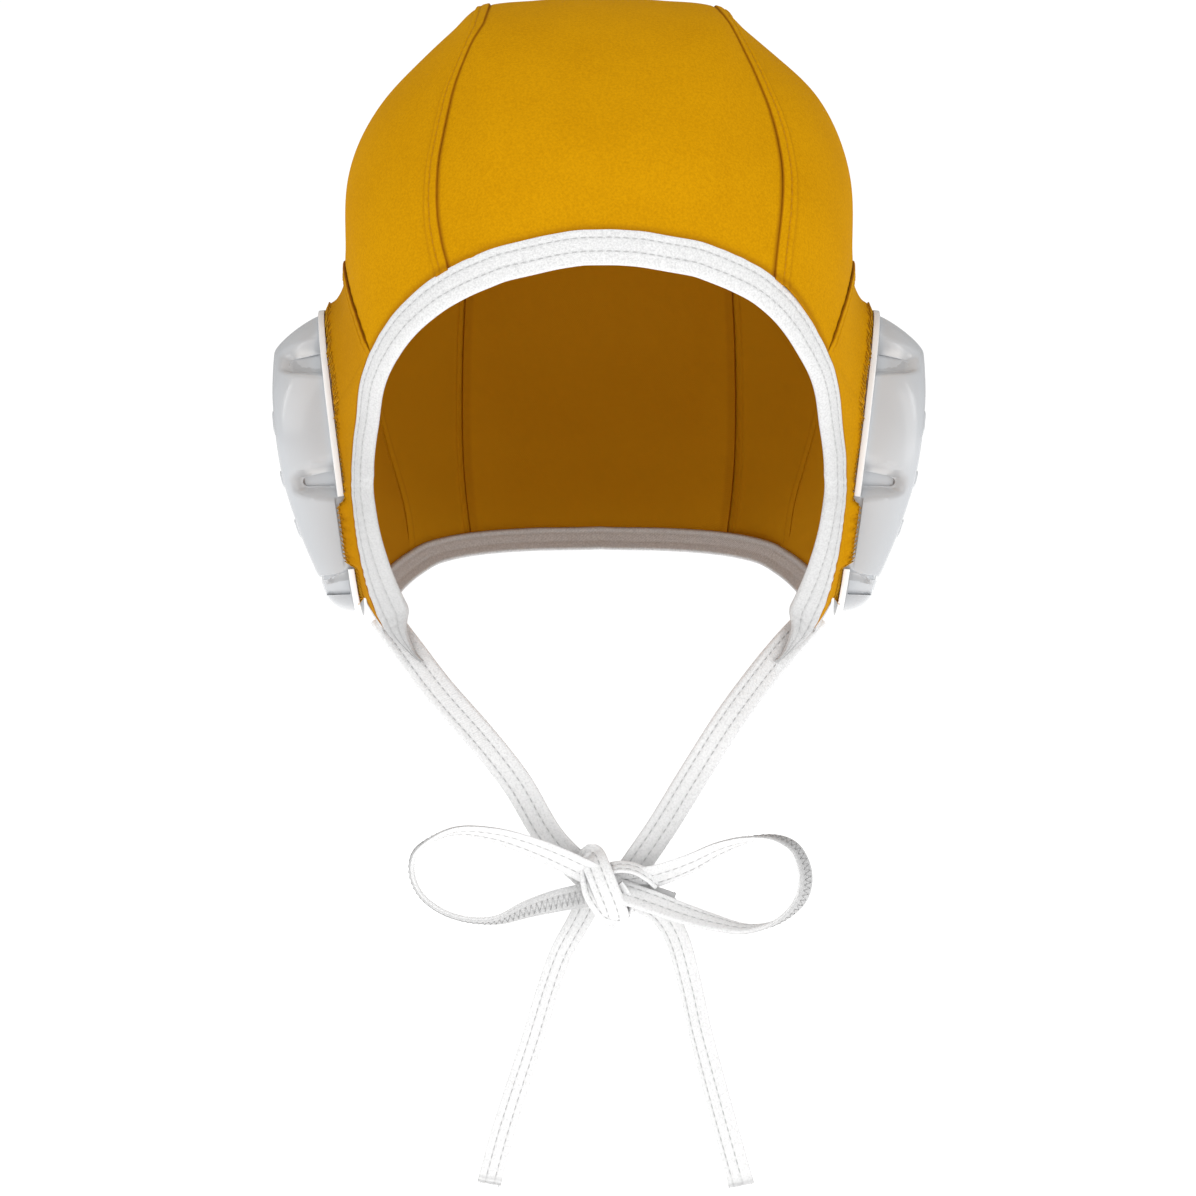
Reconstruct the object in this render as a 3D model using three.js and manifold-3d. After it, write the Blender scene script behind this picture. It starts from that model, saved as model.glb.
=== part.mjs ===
// Water polo cap: cloth panels, two moulded ear guards, white tape bindings and a tied bow.
// Millimetres, +Z up. The face opening looks along -Y, and +X lies on the viewer's right.
// The origin is the inner top of the crown, where the head carries the cap.

import * as THREE from "three";
import { mergeVertices } from "three/addons/utils/BufferGeometryUtils.js";
import Module from "manifold-3d";

const wasm = await Module();
wasm.setup();

// Cloth and seams
const clothWall = 1.2;
const seamGap = 0.3;
const lapWidth = 2.6;
const lapRise = 0.7;

// Head form that the cloth is stretched over; rises and drops below are taken from the ear axis
const crownHeight = 135;
const headHalfWidth = 79;
const topPower = 3.1;

// Face opening, measured on the line where cloth meets binding
const openingHalfWidth = 73.9;
const openingRise = 60;
const openingWidestDrop = 11;
const openingPower = 2.4;
const openingFront = 89;
const flapTuck = 0.115;
const flapDrop = 56.3;

// Lower edge of the cap from the flap tips to the nape
const napeBack = 86;
const napeDrop = 24;

// White tape
const bindingWidth = 10.6;
const bindingProud = 0.5;
const napeBandWidth = 8.5;
const napeBandTuck = 1.6;
const tieWidth = 9.2;
const tieThickness = 1.4;

// Ear guards
const guardHeight = 95;
const guardWidth = 64;
const guardDepth = 18.4;
const guardWall = 1.6;
const guardBack = 6;
const guardDrop = 6;
const guardInset = 0.5;
const guardLean = 7.1;
const flangeHeight = 2;
const flangeLip = 1.6;
const flangeWidth = 5;
const guardSeat = 0.3;
const fluteWidth = 13;
const fluteDepth = 2.6;
const slotLength = 9.5;
const slotHeight = 4.4;
const slotRise = 0.6;
const rimNotchDepth = 3.1;
const rimNotchHeight = 22;
const rimNotchDrop = 22;
const padRise = 1.3;
const padRoot = 0.8;
const faceDome = 0.3;

// Bow; its knot hangs below the ear axis, and its loops and tails are taken from the knot's middle
const knotAside = 1.6;
const knotFront = 54;
const knotDrop = 133;
const knotWidth = 15;
const knotDepth = 12.6;
const knotHeight = 18;
const knotBandRise = 0.12;
const knotGap = 0.3;
const loopLeftReach = 57;
const loopRightReach = 59.4;
const loopHalfHeight = 13;
const loopFront = 6;
const tailLeftDrop = 88.6;
const tailRightDrop = 89.6;
const tailLeftSpread = 34.2;
const tailRightSpread = 40.8;
const tailBack = 9.4;

// Facets along and across the panels, round the guards and along the tapes
const crownRows = 19;
const crownColumns = 12;
const sideColumns = 6;
const guardColumns = 44;
const bindingRows = 32;
const napeRows = 20;
const tieRows = 18;
const loopLeftRows = 34;
const loopRightRows = 36;

const earAxis = new THREE.Vector3(0, 0, -crownHeight);
const crownReach = crownHeight + clothWall;
const knotCentre = new THREE.Vector3(knotAside, -knotFront, earAxis.z - knotDrop);
const degrees = Math.PI / 180;

// Middle section of the head form, turning from straight down over the face, top and nape:
// reach as a share of the crown's reach, roundness power, and how much of the seam corner it keeps
const middleSection = [
  { turn: -90, reach: 0.74, power: 2.2, corner: 0 },
  { turn: -55, reach: 0.72, power: 2.2, corner: 0 },
  { turn: -20, reach: 0.665, power: 2.35, corner: 0 },
  { turn: 5, reach: 0.66, power: 2.4, corner: 0.05 },
  { turn: 20, reach: 0.735, power: 2.6, corner: 0.15 },
  { turn: 35, reach: 0.797, power: 2.7, corner: 0.3 },
  { turn: 50, reach: 0.884, power: 2.8, corner: 0.6 },
  { turn: 70, reach: 0.972, power: 3, corner: 0.95 },
  { turn: 90, reach: 1, power: 3.1, corner: 1 },
  { turn: 112, reach: 0.985, power: 3, corner: 0.9 },
  { turn: 135, reach: 0.942, power: 2.8, corner: 0.65 },
  { turn: 160, reach: 0.82, power: 2.6, corner: 0.4 },
  { turn: 180, reach: 0.72, power: 2.5, corner: 0.2 },
  { turn: 200, reach: 0.662, power: 2.4, corner: 0.05 },
  { turn: 230, reach: 0.69, power: 2.2, corner: 0 },
  { turn: 270, reach: 0.74, power: 2.2, corner: 0 },
];

// Section across the top, from the middle down to one ear: the flat top ends in the seam's corner
const topSection = [
  { tilt: 0, reach: 1 },
  { tilt: 8, reach: 1.005 },
  { tilt: 15.6, reach: 1.014 },
  { tilt: 19.5, reach: 0.984 },
  { tilt: 25, reach: 0.949 },
  { tilt: 32.3, reach: 0.909 },
  { tilt: 38.3, reach: 0.867 },
  { tilt: 43.4, reach: 0.82 },
  { tilt: 53.1, reach: 0.712 },
  { tilt: 66, reach: 0.63 },
  { tilt: 90, reach: 0.58 },
];

// Distance of the top seams from the middle plane, as a share of the head's half width
const topSeam = [
  { turn: 0, across: 0.53 },
  { turn: 28, across: 0.562 },
  { turn: 38, across: 0.596 },
  { turn: 49, across: 0.577 },
  { turn: 58, across: 0.545 },
  { turn: 69, across: 0.496 },
  { turn: 90, across: 0.46 },
  { turn: 112, across: 0.452 },
  { turn: 135, across: 0.5 },
  { turn: 160, across: 0.54 },
  { turn: 185, across: 0.53 },
  { turn: 215, across: 0.46 },
];

// Distance of the ear panel's seam from the ear axis, as a share of the head's half width
const earSeam = [
  { turn: 0, away: 0.9 },
  { turn: 20, away: 0.858 },
  { turn: 40, away: 0.79 },
  { turn: 65, away: 0.725 },
  { turn: 90, away: 0.709 },
  { turn: 120, away: 0.735 },
  { turn: 150, away: 0.79 },
  { turn: 180, away: 0.83 },
  { turn: 220, away: 0.85 },
];

// Depth of the face opening's edge from its top (along 0) to the flap tip (along 1) and past it,
// and the turn of the tape's outer and inner parts away from the front, in degrees
const rimTable = [
  { along: 0, front: 1, outerTurn: 4, innerTurn: 0 },
  { along: 0.0833, front: 0.994, outerTurn: 6, innerTurn: 2 },
  { along: 0.1667, front: 0.97, outerTurn: 14, innerTurn: 5 },
  { along: 0.25, front: 0.9, outerTurn: 28, innerTurn: 12 },
  { along: 0.3333, front: 0.75, outerTurn: 44, innerTurn: 22 },
  { along: 0.4167, front: 0.56, outerTurn: 56, innerTurn: 29 },
  { along: 0.5, front: 0.415, outerTurn: 62, innerTurn: 33 },
  { along: 0.65, front: 0.365, outerTurn: 60, innerTurn: 33 },
  { along: 0.8, front: 0.3, outerTurn: 48, innerTurn: 28 },
  { along: 0.9, front: 0.25, outerTurn: 36, innerTurn: 22 },
  { along: 1, front: 0.235, outerTurn: 26, innerTurn: 16 },
  { along: 1.12, front: 0.33, outerTurn: 14, innerTurn: 8 },
];

// Strips of the face tape from the cloth inwards, as shares of its width
const tapeStrips = [{ wide: 0.26 }, { wide: 0.36 }, { wide: 0.38 }];

// Lower edge from the flap tip (along 0) to the middle of the nape (along 1); the last column
// is its height between the nape (0) and the flap tip (1)
const napeTable = [
  { along: 0, across: 0.884, back: -0.243, lower: 1 },
  { along: 0.1, across: 0.93, back: -0.105, lower: 0.877 },
  { along: 0.2, across: 0.955, back: 0.035, lower: 0.798 },
  { along: 0.3, across: 0.96, back: 0.18, lower: 0.739 },
  { along: 0.4, across: 0.945, back: 0.33, lower: 0.64 },
  { along: 0.5, across: 0.9, back: 0.48, lower: 0.507 },
  { along: 0.6, across: 0.82, back: 0.63, lower: 0.345 },
  { along: 0.7, across: 0.71, back: 0.765, lower: 0.187 },
  { along: 0.8, across: 0.53, back: 0.885, lower: 0.074 },
  { along: 0.9, across: 0.29, back: 0.97, lower: 0.015 },
  { along: 1, across: 0, back: 1, lower: 0 },
];

// Guard depth along its height, from its lower end (up -1) to its upper end (up 1)
const guardDepths = [
  { up: -1, deep: 0.22 },
  { up: -0.97, deep: 0.4 },
  { up: -0.88, deep: 0.53 },
  { up: -0.74, deep: 0.6 },
  { up: -0.67, deep: 0.66 },
  { up: -0.39, deep: 0.84 },
  { up: -0.03, deep: 0.99 },
  { up: 0.42, deep: 1 },
  { up: 0.74, deep: 0.92 },
  { up: 1, deep: 0.86 },
];

// Guard shoulder round its outline, from the top (turn 0) over the front (turn 90) and on round;
// its inset is a share of the guard's width
const guardShoulders = [
  { turn: 0, inset: 0.18, power: 1.35 },
  { turn: 45, inset: 0.14, power: 1.9 },
  { turn: 80, inset: 0.078, power: 3 },
  { turn: 120, inset: 0.078, power: 3 },
  { turn: 155, inset: 0.078, power: 2.4 },
  { turn: 180, inset: 0.078, power: 2.2 },
  { turn: 205, inset: 0.078, power: 2.4 },
  { turn: 240, inset: 0.078, power: 3 },
  { turn: 280, inset: 0.078, power: 3 },
  { turn: 315, inset: 0.14, power: 1.9 },
  { turn: 360, inset: 0.18, power: 1.35 },
];

// Scalloped flutes and their slots on the guard's front and back walls, as shares of its half height
const flutes = [
  { up: 0.684, slotUp: 0.651 },
  { up: -0.116, slotUp: -0.107 },
  { up: -0.821, slotUp: -0.808 },
];

// Raised pads on the guard's outer face: place as a share of its half height, height as a share
// of its height and length as a share of its width
const facePads = [
  { up: 0.305, tall: 0.095, long: 0.406 },
  { up: -0.063, tall: 0.068, long: 0.469 },
  { up: -0.389, tall: 0.074, long: 0.344 },
];

// Ties from the flap tips (0) to the knot (1); lean turns a tape's face away from the front
const tieLeftRoute = [
  { across: 0.002, front: -0.197, down: -0.041, lean: 20 },
  { across: 0.12, front: 0.046, down: 0.093, lean: 8 },
  { across: 0.259, front: 0.318, down: 0.247, lean: 0 },
  { across: 0.478, front: 0.636, down: 0.46, lean: 0 },
  { across: 0.612, front: 0.758, down: 0.61, lean: -6 },
  { across: 0.764, front: 0.849, down: 0.827, lean: -14 },
  { across: 0.932, front: 0.879, down: 0.974, lean: -14 },
];
const tieRightRoute = [
  { across: 0.002, front: -0.197, down: -0.043, lean: 20 },
  { across: 0.127, front: 0.031, down: 0.065, lean: 8 },
  { across: 0.258, front: 0.288, down: 0.192, lean: 0 },
  { across: 0.421, front: 0.546, down: 0.371, lean: 0 },
  { across: 0.596, front: 0.727, down: 0.596, lean: -6 },
  { across: 0.736, front: 0.849, down: 0.782, lean: -14 },
  { across: 0.884, front: 0.879, down: 0.961, lean: -14 },
];

// Bow loops out from the knot and back, as shares of their reach, half height and front
const loopLeftRoute = [
  { across: 0.046, front: 0.58, up: 0.21, lean: 37 },
  { across: 0.237, front: 0.77, up: 0.62, lean: 42 },
  { across: 0.393, front: 0.88, up: 0.91, lean: 50 },
  { across: 0.574, front: 0.97, up: 1.16, lean: 62 },
  { across: 0.767, front: 1, up: 1.25, lean: 76 },
  { across: 0.902, front: 1, up: 1.05, lean: 86 },
  { across: 0.984, front: 1, up: 0.75, lean: 90 },
  { across: 1, front: 1, up: 0.32, lean: 90 },
  { across: 0.958, front: 1, up: -0.16, lean: 92 },
  { across: 0.86, front: 0.93, up: -0.53, lean: 94 },
  { across: 0.725, front: 0.83, up: -0.75, lean: 96 },
  { across: 0.563, front: 0.63, up: -0.78, lean: 104 },
  { across: 0.398, front: 0.4, up: -0.53, lean: 124 },
  { across: 0.247, front: 0.1, up: -0.35, lean: 138 },
  { across: 0.063, front: -0.2, up: -0.2, lean: 146 },
];
const loopRightRoute = [
  { across: 0.04, front: -0.13, up: 0.05, lean: 37 },
  { across: 0.247, front: 0.1, up: 0.2, lean: 42 },
  { across: 0.423, front: 0.4, up: 0.49, lean: 50 },
  { across: 0.572, front: 0.67, up: 0.84, lean: 64 },
  { across: 0.707, front: 0.83, up: 1.05, lean: 80 },
  { across: 0.842, front: 0.93, up: 1.09, lean: 96 },
  { across: 0.946, front: 1, up: 0.86, lean: 108 },
  { across: 1, front: 1, up: 0.29, lean: 114 },
  { across: 0.987, front: 1, up: -0.21, lean: 112 },
  { across: 0.929, front: 1, up: -0.58, lean: 104 },
  { across: 0.838, front: 0.97, up: -0.85, lean: 94 },
  { across: 0.707, front: 0.93, up: -0.97, lean: 80 },
  { across: 0.537, front: 0.9, up: -0.82, lean: 62 },
  { across: 0.392, front: 0.83, up: -0.62, lean: 52 },
  { across: 0.247, front: 0.77, up: -0.38, lean: 46 },
  { across: 0.057, front: 0.67, up: -0.08, lean: 42 },
];

// Bow tails down from the knot, as shares of their spread, set back and drop
const tailLeftRoute = [
  { across: 0.09, back: 1, down: 0.023, lean: 30 },
  { across: 0.202, back: 0.79, down: 0.113, lean: 38 },
  { across: 0.377, back: 0.36, down: 0.233, lean: 43 },
  { across: 0.494, back: 0.11, down: 0.357, lean: 43 },
  { across: 0.62, back: 0, down: 0.518, lean: 42 },
  { across: 0.766, back: -0.06, down: 0.689, lean: 42 },
  { across: 0.88, back: -0.11, down: 0.83, lean: 40 },
  { across: 1, back: -0.11, down: 1, lean: 40 },
];
const tailRightRoute = [
  { across: 0.169, back: 0.77, down: 0.045, lean: 34 },
  { across: 0.39, back: 0.77, down: 0.089, lean: 34 },
  { across: 0.515, back: 0.68, down: 0.167, lean: 38 },
  { across: 0.618, back: 0.57, down: 0.324, lean: 40 },
  { across: 0.691, back: 0.47, down: 0.477, lean: 40 },
  { across: 0.77, back: 0.38, down: 0.616, lean: 38 },
  { across: 0.858, back: 0.32, down: 0.766, lean: 36 },
  { across: 1, back: 0.32, down: 1, lean: 34 },
];

function clamp(value, low, high) {
  return Math.min(Math.max(value, low), high);
}

function mix(from, to, share) {
  return from + (to - from) * share;
}

function easeBetween(low, high, value) {
  const share = clamp((value - low) / (high - low), 0, 1);
  return share * share * (3 - 2 * share);
}

// Smooth value of a table's column at a place along its key column
function read(table, key, place, column) {
  const last = table.length - 1;
  let row = 0;
  while (row < last - 1 && place > table[row + 1][key]) {
    row += 1;
  }
  const slope = (low, high) =>
    (table[high][column] - table[low][column]) / (table[high][key] - table[low][key]);
  const span = table[row + 1][key] - table[row][key];
  const share = clamp((place - table[row][key]) / span, 0, 1);
  const leave = slope(Math.max(row - 1, 0), row + 1) * span;
  const arrive = slope(row, Math.min(row + 2, last)) * span;
  const rest = 1 - share;
  return (
    table[row][column] * (1 + 2 * share) * rest * rest +
    leave * share * rest * rest +
    table[row + 1][column] * share * share * (3 - 2 * share) -
    arrive * share * share * rest
  );
}

// Place where a rising function passes zero
function crossing(low, high, rising) {
  let [under, over] = [low, high];
  for (let round = 0; round < 40; round += 1) {
    const middle = (under + over) / 2;
    if (rising(middle) < 0) {
      under = middle;
    } else {
      over = middle;
    }
  }
  return (under + over) / 2;
}

// Head form: distance of its outer face from the ear axis, in a direction given by
// its tilt towards the ear and its turn round the ear axis, both in degrees
function roundReach(tilt, middle, power) {
  const side = Math.abs(Math.sin(tilt * degrees)) / headHalfWidth;
  const plane = Math.max(Math.cos(tilt * degrees), 0) / middle;
  return (side ** power + plane ** power) ** (-1 / power);
}

function formReach(tilt, turn) {
  const steep = Math.abs(tilt);
  const around = turn > 270 ? turn - 360 : turn;
  const middle = read(middleSection, "turn", around, "reach") * crownReach;
  const plain = roundReach(steep, middle, read(middleSection, "turn", around, "power"));
  const cornered = read(topSection, "tilt", steep, "reach") * crownReach;
  const corner = cornered / roundReach(steep, crownReach, topPower) - 1;
  return plain * (1 + read(middleSection, "turn", around, "corner") * corner);
}

function direction(tilt, turn) {
  const flat = Math.cos(tilt * degrees);
  return new THREE.Vector3(
    Math.sin(tilt * degrees),
    -flat * Math.cos(turn * degrees),
    flat * Math.sin(turn * degrees),
  );
}

function onForm(tilt, turn, rise = 0) {
  return direction(tilt, turn).multiplyScalar(formReach(tilt, turn) + rise).add(earAxis);
}

function bearing(point) {
  const away = point.clone().sub(earAxis);
  const turn = Math.atan2(away.z, -away.y) / degrees;
  return {
    tilt: Math.asin(away.x / away.length()) / degrees,
    turn: turn < -90 ? turn + 360 : turn,
  };
}

function ontoForm(point, rise = 0) {
  const { tilt, turn } = bearing(point);
  return onForm(tilt, turn, rise);
}

// Tilt of the top seam and of the ear panel's seam at a turn
function topSeamTilt(turn) {
  const across = read(topSeam, "turn", turn, "across") * headHalfWidth;
  let tilt = 25;
  for (let round = 0; round < 12; round += 1) {
    tilt = Math.asin(Math.min(across / formReach(tilt, turn), 1)) / degrees;
  }
  return tilt;
}

function earSeamTilt(turn) {
  const away = read(earSeam, "turn", turn, "away") * headHalfWidth;
  return crossing(20, 88, (tilt) => away - formReach(tilt, turn) * Math.cos(tilt * degrees));
}

// Line where cloth meets the face binding, for along from 0 at its top to 1 at the flap tip;
// past the tip it leaves the head form as the tape runs out
function rimLine(along) {
  const y = -openingFront * read(rimTable, "along", along, "front");
  const leaving = { start: 1, stop: 1.08 };
  let target;
  if (along < 0.5) {
    const round = along * 180 * degrees;
    const power = 2 / openingPower;
    const height = mix(-openingWidestDrop, openingRise, Math.cos(round) ** power);
    target = new THREE.Vector3(openingHalfWidth * Math.sin(round) ** power, y, earAxis.z + height);
  } else {
    const down = (along - 0.5) * 2;
    const height = mix(-openingWidestDrop, -flapDrop, down);
    const tuck = 1 - flapTuck * down ** 4;
    target = new THREE.Vector3(openingHalfWidth * tuck, y, earAxis.z + height);
  }
  return target.lerp(ontoForm(target), 1 - easeBetween(leaving.start, leaving.stop, along));
}

// Line of the cloth's lower edge, for along from 0 at the flap tip to 1 at the nape
function napeLine(along) {
  const point = new THREE.Vector3(
    headHalfWidth * read(napeTable, "along", along, "across"),
    napeBack * read(napeTable, "along", along, "back"),
    earAxis.z - mix(napeDrop, flapDrop, read(napeTable, "along", along, "lower")),
  );
  const tipStretch = 0.08;
  return ontoForm(point.lerp(rimLine(1), 1 - easeBetween(0, tipStretch, along)));
}

// Closed solid from its vertices and faces, turned so that the faces point out
function closedSolid(points, faces) {
  let volume = 0;
  for (const [a, b, c] of faces) {
    volume += points[a].dot(points[b].clone().cross(points[c]));
  }
  const positions = new Float32Array(points.length * 3);
  points.forEach((point, index) => point.toArray(positions, index * 3));
  const geometry = new THREE.BufferGeometry();
  geometry.setAttribute("position", new THREE.BufferAttribute(positions, 3));
  const outward = faces.map(([a, b, c]) => (volume < 0 ? [a, c, b] : [a, b, c]));
  geometry.setIndex(outward.flat());
  return geometry;
}

// Wall between an outer and an inner grid of points; ring joins its last column to its first
function wallBetween(outer, inner, ring = false) {
  const rows = outer.length;
  const columns = outer[0].length;
  const points = [...outer.flat(), ...inner.flat()];
  const faces = [];
  const quad = (a, b, c, d) => faces.push([a, b, c], [a, c, d]);
  const front = (row, column) => row * columns + (column % columns);
  const back = (row, column) => front(row, column) + rows * columns;
  const across = ring ? columns : columns - 1;
  for (let column = 0; column < across; column += 1) {
    for (let row = 0; row < rows - 1; row += 1) {
      quad(front(row, column), front(row, column + 1), front(row + 1, column + 1), front(row + 1, column));
      quad(back(row, column), back(row + 1, column), back(row + 1, column + 1), back(row, column + 1));
    }
    quad(front(0, column), back(0, column), back(0, column + 1), front(0, column + 1));
    const end = rows - 1;
    quad(front(end, column), front(end, column + 1), back(end, column + 1), back(end, column));
  }
  for (let row = 0; row < rows - 1 && !ring; row += 1) {
    quad(front(row, 0), front(row + 1, 0), back(row + 1, 0), back(row, 0));
    const end = columns - 1;
    quad(front(row, end), back(row, end), back(row + 1, end), front(row + 1, end));
  }
  return closedSolid(points, faces);
}

// Normals of a grid of points, all on the side of the given outward test
function gridNormals(grid, outward, ring = false) {
  const columns = grid[0].length;
  const rows = grid.length;
  return grid.map((line, row) =>
    line.map((point, column) => {
      const left = ring ? (column + columns - 1) % columns : Math.max(column - 1, 0);
      const right = ring ? (column + 1) % columns : Math.min(column + 1, columns - 1);
      const along = line[right].clone().sub(line[left]);
      const up = grid[Math.min(row + 1, rows - 1)][column].clone();
      up.sub(grid[Math.max(row - 1, 0)][column]);
      const normal = along.cross(up).normalize();
      return normal.dot(outward(point)) < 0 ? normal.negate() : normal;
    }),
  );
}

// Cloth wall: the inner face lies towards the ear axis, so neighbouring panels stay apart
function clothWallOf(outer, ring = false) {
  const steepest = 0.6;
  const awayFromAxis = (point) => point.clone().sub(earAxis).normalize();
  const normals = gridNormals(outer, awayFromAxis, ring);
  const inner = outer.map((line, row) =>
    line.map((point, column) => {
      const ray = awayFromAxis(point);
      const lean = Math.max(ray.dot(normals[row][column]), steepest);
      return point.clone().addScaledVector(ray, -clothWall / lean);
    }),
  );
  return wallBetween(outer, inner, ring);
}

function shares(count) {
  return Array.from({ length: count + 1 }, (_, index) => index / count);
}

function mirrored(geometry) {
  const copy = geometry.clone();
  copy.scale(-1, 1, 1);
  const index = copy.getIndex();
  for (let corner = 0; corner < index.count; corner += 3) {
    const second = index.getX(corner + 1);
    index.setX(corner + 1, index.getX(corner + 2));
    index.setX(corner + 2, second);
  }
  return copy;
}

// Cloth strip between the rim and the nape, whose columns run over the crown at their own tilt
function crownPanel(columnTilts, rowCount) {
  const gapTurn = (seamGap / openingFront) / degrees;
  const lines = columnTilts.map((column) => {
    const cross = (line) => (along) => {
      const { tilt, turn } = bearing(line(along));
      return Math.abs(tilt) - Math.abs(column.tilt(turn));
    };
    const rimAlong = crossing(0, 0.5, cross(rimLine));
    const napeAlong = crossing(0, 1, (along) => -cross(napeLine)(along));
    const from = bearing(rimLine(rimAlong)).turn + gapTurn;
    const to = bearing(napeLine(napeAlong)).turn - gapTurn;
    return shares(rowCount).map((share) => {
      const turn = mix(from, to, share);
      return onForm(column.tilt(turn), turn, column.rise);
    });
  });
  const outer = shares(rowCount).map((_, row) => lines.map((line) => line[row]));
  return clothWallOf(outer);
}

function tiltOf(length) {
  return length / headHalfWidth / degrees;
}

function makeCentrePanel() {
  const half = tiltOf(seamGap / 2);
  const columns = shares(crownColumns).map((share) => ({
    tilt: (turn) => (share * 2 - 1) * (topSeamTilt(turn) - half),
    rise: 0,
  }));
  return crownPanel(columns, crownRows);
}

// The side panel's edge folds over at the top seam, so it starts with a raised lap
function makeSidePanel() {
  const half = tiltOf(seamGap / 2);
  const lap = tiltOf(lapWidth);
  const step = tiltOf(clothWall / 2);
  const beside = (offset, rise) => ({ tilt: (turn) => topSeamTilt(turn) + offset, rise });
  const columns = [beside(half, lapRise), beside(lap, lapRise), beside(lap + step, 0)];
  for (const share of shares(sideColumns).slice(1)) {
    columns.push({
      tilt: (turn) => mix(topSeamTilt(turn) + lap + step, earSeamTilt(turn) - half, share),
      rise: 0,
    });
  }
  return crownPanel(columns, crownRows);
}

// Guard's own frame: back along +Y, up along the leaning base, out from the head
const guardUp = new THREE.Vector3(Math.sin(guardLean * degrees), 0, Math.cos(guardLean * degrees));
const guardOut = new THREE.Vector3(Math.cos(guardLean * degrees), 0, -Math.sin(guardLean * degrees));
const guardCentre = new THREE.Vector3(headHalfWidth - guardInset, guardBack, earAxis.z - guardDrop);

function inGuard(back, up, out) {
  return guardCentre
    .clone()
    .add(new THREE.Vector3(0, back, 0))
    .addScaledVector(guardUp, up)
    .addScaledVector(guardOut, out);
}

// Rounded outline of the guard, fuller above its middle; turn 0 is its top and 90 its front
function guardOutline(turn, inset) {
  const roundness = 2.35;
  const fullness = 0.1;
  const power = 2 / roundness;
  const up = Math.cos(turn * degrees);
  const front = Math.sin(turn * degrees);
  const halfHeight = guardHeight / 2 - inset;
  const fuller = 1 + fullness * up;
  const halfWidth = guardWidth / 2 - inset;
  return {
    back: -Math.sign(front) * halfWidth * fuller * Math.abs(front) ** power,
    up: Math.sign(up) * halfHeight * Math.abs(up) ** power,
  };
}

function guardDeep(up) {
  return guardDepth * read(guardDepths, "up", up / (guardHeight / 2), "deep");
}

// Ear panel: from the hole under the guard out to the seam, the lower edge and the face opening
function makeEarPanel() {
  const half = tiltOf(seamGap / 2);
  const facets = { seam: 18, nape: 9, rim: 9 };
  const underFlange = 1;
  const roundness = 0.55;
  const seamCross = (line) => (along) => {
    const { tilt, turn } = bearing(line(along));
    return tilt - earSeamTilt(turn);
  };
  const rimCorner = crossing(0.2, 0.5, seamCross(rimLine));
  const napeCorner = crossing(0.2, 1, (along) => -seamCross(napeLine)(along));
  const firstTurn = bearing(rimLine(rimCorner)).turn;
  const lastTurn = bearing(napeLine(napeCorner)).turn;
  const border = [];
  for (const share of shares(facets.seam).slice(0, -1)) {
    const turn = mix(firstTurn, lastTurn, share);
    border.push({ point: onForm(earSeamTilt(turn) + half, turn), lap: lapRise });
  }
  for (const share of shares(facets.nape).slice(0, -1)) {
    border.push({ point: napeLine(mix(napeCorner, 0, share)), lap: 0 });
  }
  for (const share of shares(facets.rim).slice(0, -1)) {
    border.push({ point: rimLine(mix(1, rimCorner, share)), lap: 0 });
  }
  const centre = inGuard(0, 0, 0);
  const columns = border.map(({ point, lap }) => {
    const inward = centre.clone().sub(point);
    inward.x = 0;
    inward.normalize();
    const edge = ontoForm(point.clone().addScaledVector(inward, seamGap), lap);
    const lapEnd = ontoForm(point.clone().addScaledVector(inward, lapWidth), lap);
    const away = point.clone().sub(centre);
    const turn = Math.atan2(-away.y / guardWidth, away.z / guardHeight) / degrees;
    const under = guardOutline(turn, underFlange);
    const hole = guardOutline(turn, flangeWidth);
    const seat = inGuard(under.back, under.up, -guardSeat);
    const between = (share) => {
      const straight = seat.clone().lerp(lapEnd, share);
      return straight.lerp(ontoForm(straight, lap * share), roundness * share);
    };
    return [inGuard(hole.back, hole.up, -guardSeat), seat, between(1 / 3), between(2 / 3), lapEnd, edge];
  });
  const outer = columns[0].map((_, row) => columns.map((column) => column[row]));
  return clothWallOf(outer, true);
}

// Ear guard: a scalloped cup on a flange, open towards the ear. A flute is widest and deepest at
// its foot and fades out before the shoulder, and only the front and back walls have them.
const flutedWall = { start: 0.3, stop: 0.62 };
const fluteSide = { start: 0.35, stop: 1.1 };
const fluteTop = { start: 0.55, stop: 0.95, wide: 0.45 };

function guardHollow(back, up, rise) {
  const nearWall = easeBetween(flutedWall.start, flutedWall.stop, Math.abs(back) / (guardWidth / 2));
  const fade = 1 - easeBetween(fluteTop.start, fluteTop.stop, rise);
  const halfWidth = (fluteWidth / 2) * mix(1, fluteTop.wide, rise);
  let hollow = 0;
  for (const flute of flutes) {
    const beside = Math.abs(up - (flute.up * guardHeight) / 2) / halfWidth;
    hollow = Math.max(hollow, 1 - easeBetween(fluteSide.start, fluteSide.stop, beside));
  }
  return fluteDepth * hollow * fade * nearWall;
}

function guardPoint(turn, share, wall) {
  const shoulder = guardWidth * read(guardShoulders, "turn", turn, "inset");
  const power = 2 / read(guardShoulders, "turn", turn, "power");
  const quarter = share * 90 * degrees;
  const inset = flangeLip + shoulder * (1 - Math.cos(quarter) ** power) + wall;
  const rise = Math.sin(quarter) ** power;
  const plan = guardOutline(turn, inset);
  const hollow = guardHollow(plan.back, plan.up, rise);
  const plain = guardOutline(turn, inset + hollow);
  return inGuard(plain.back, plain.up, mix(flangeHeight, guardDeep(plan.up) - wall, rise));
}

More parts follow.
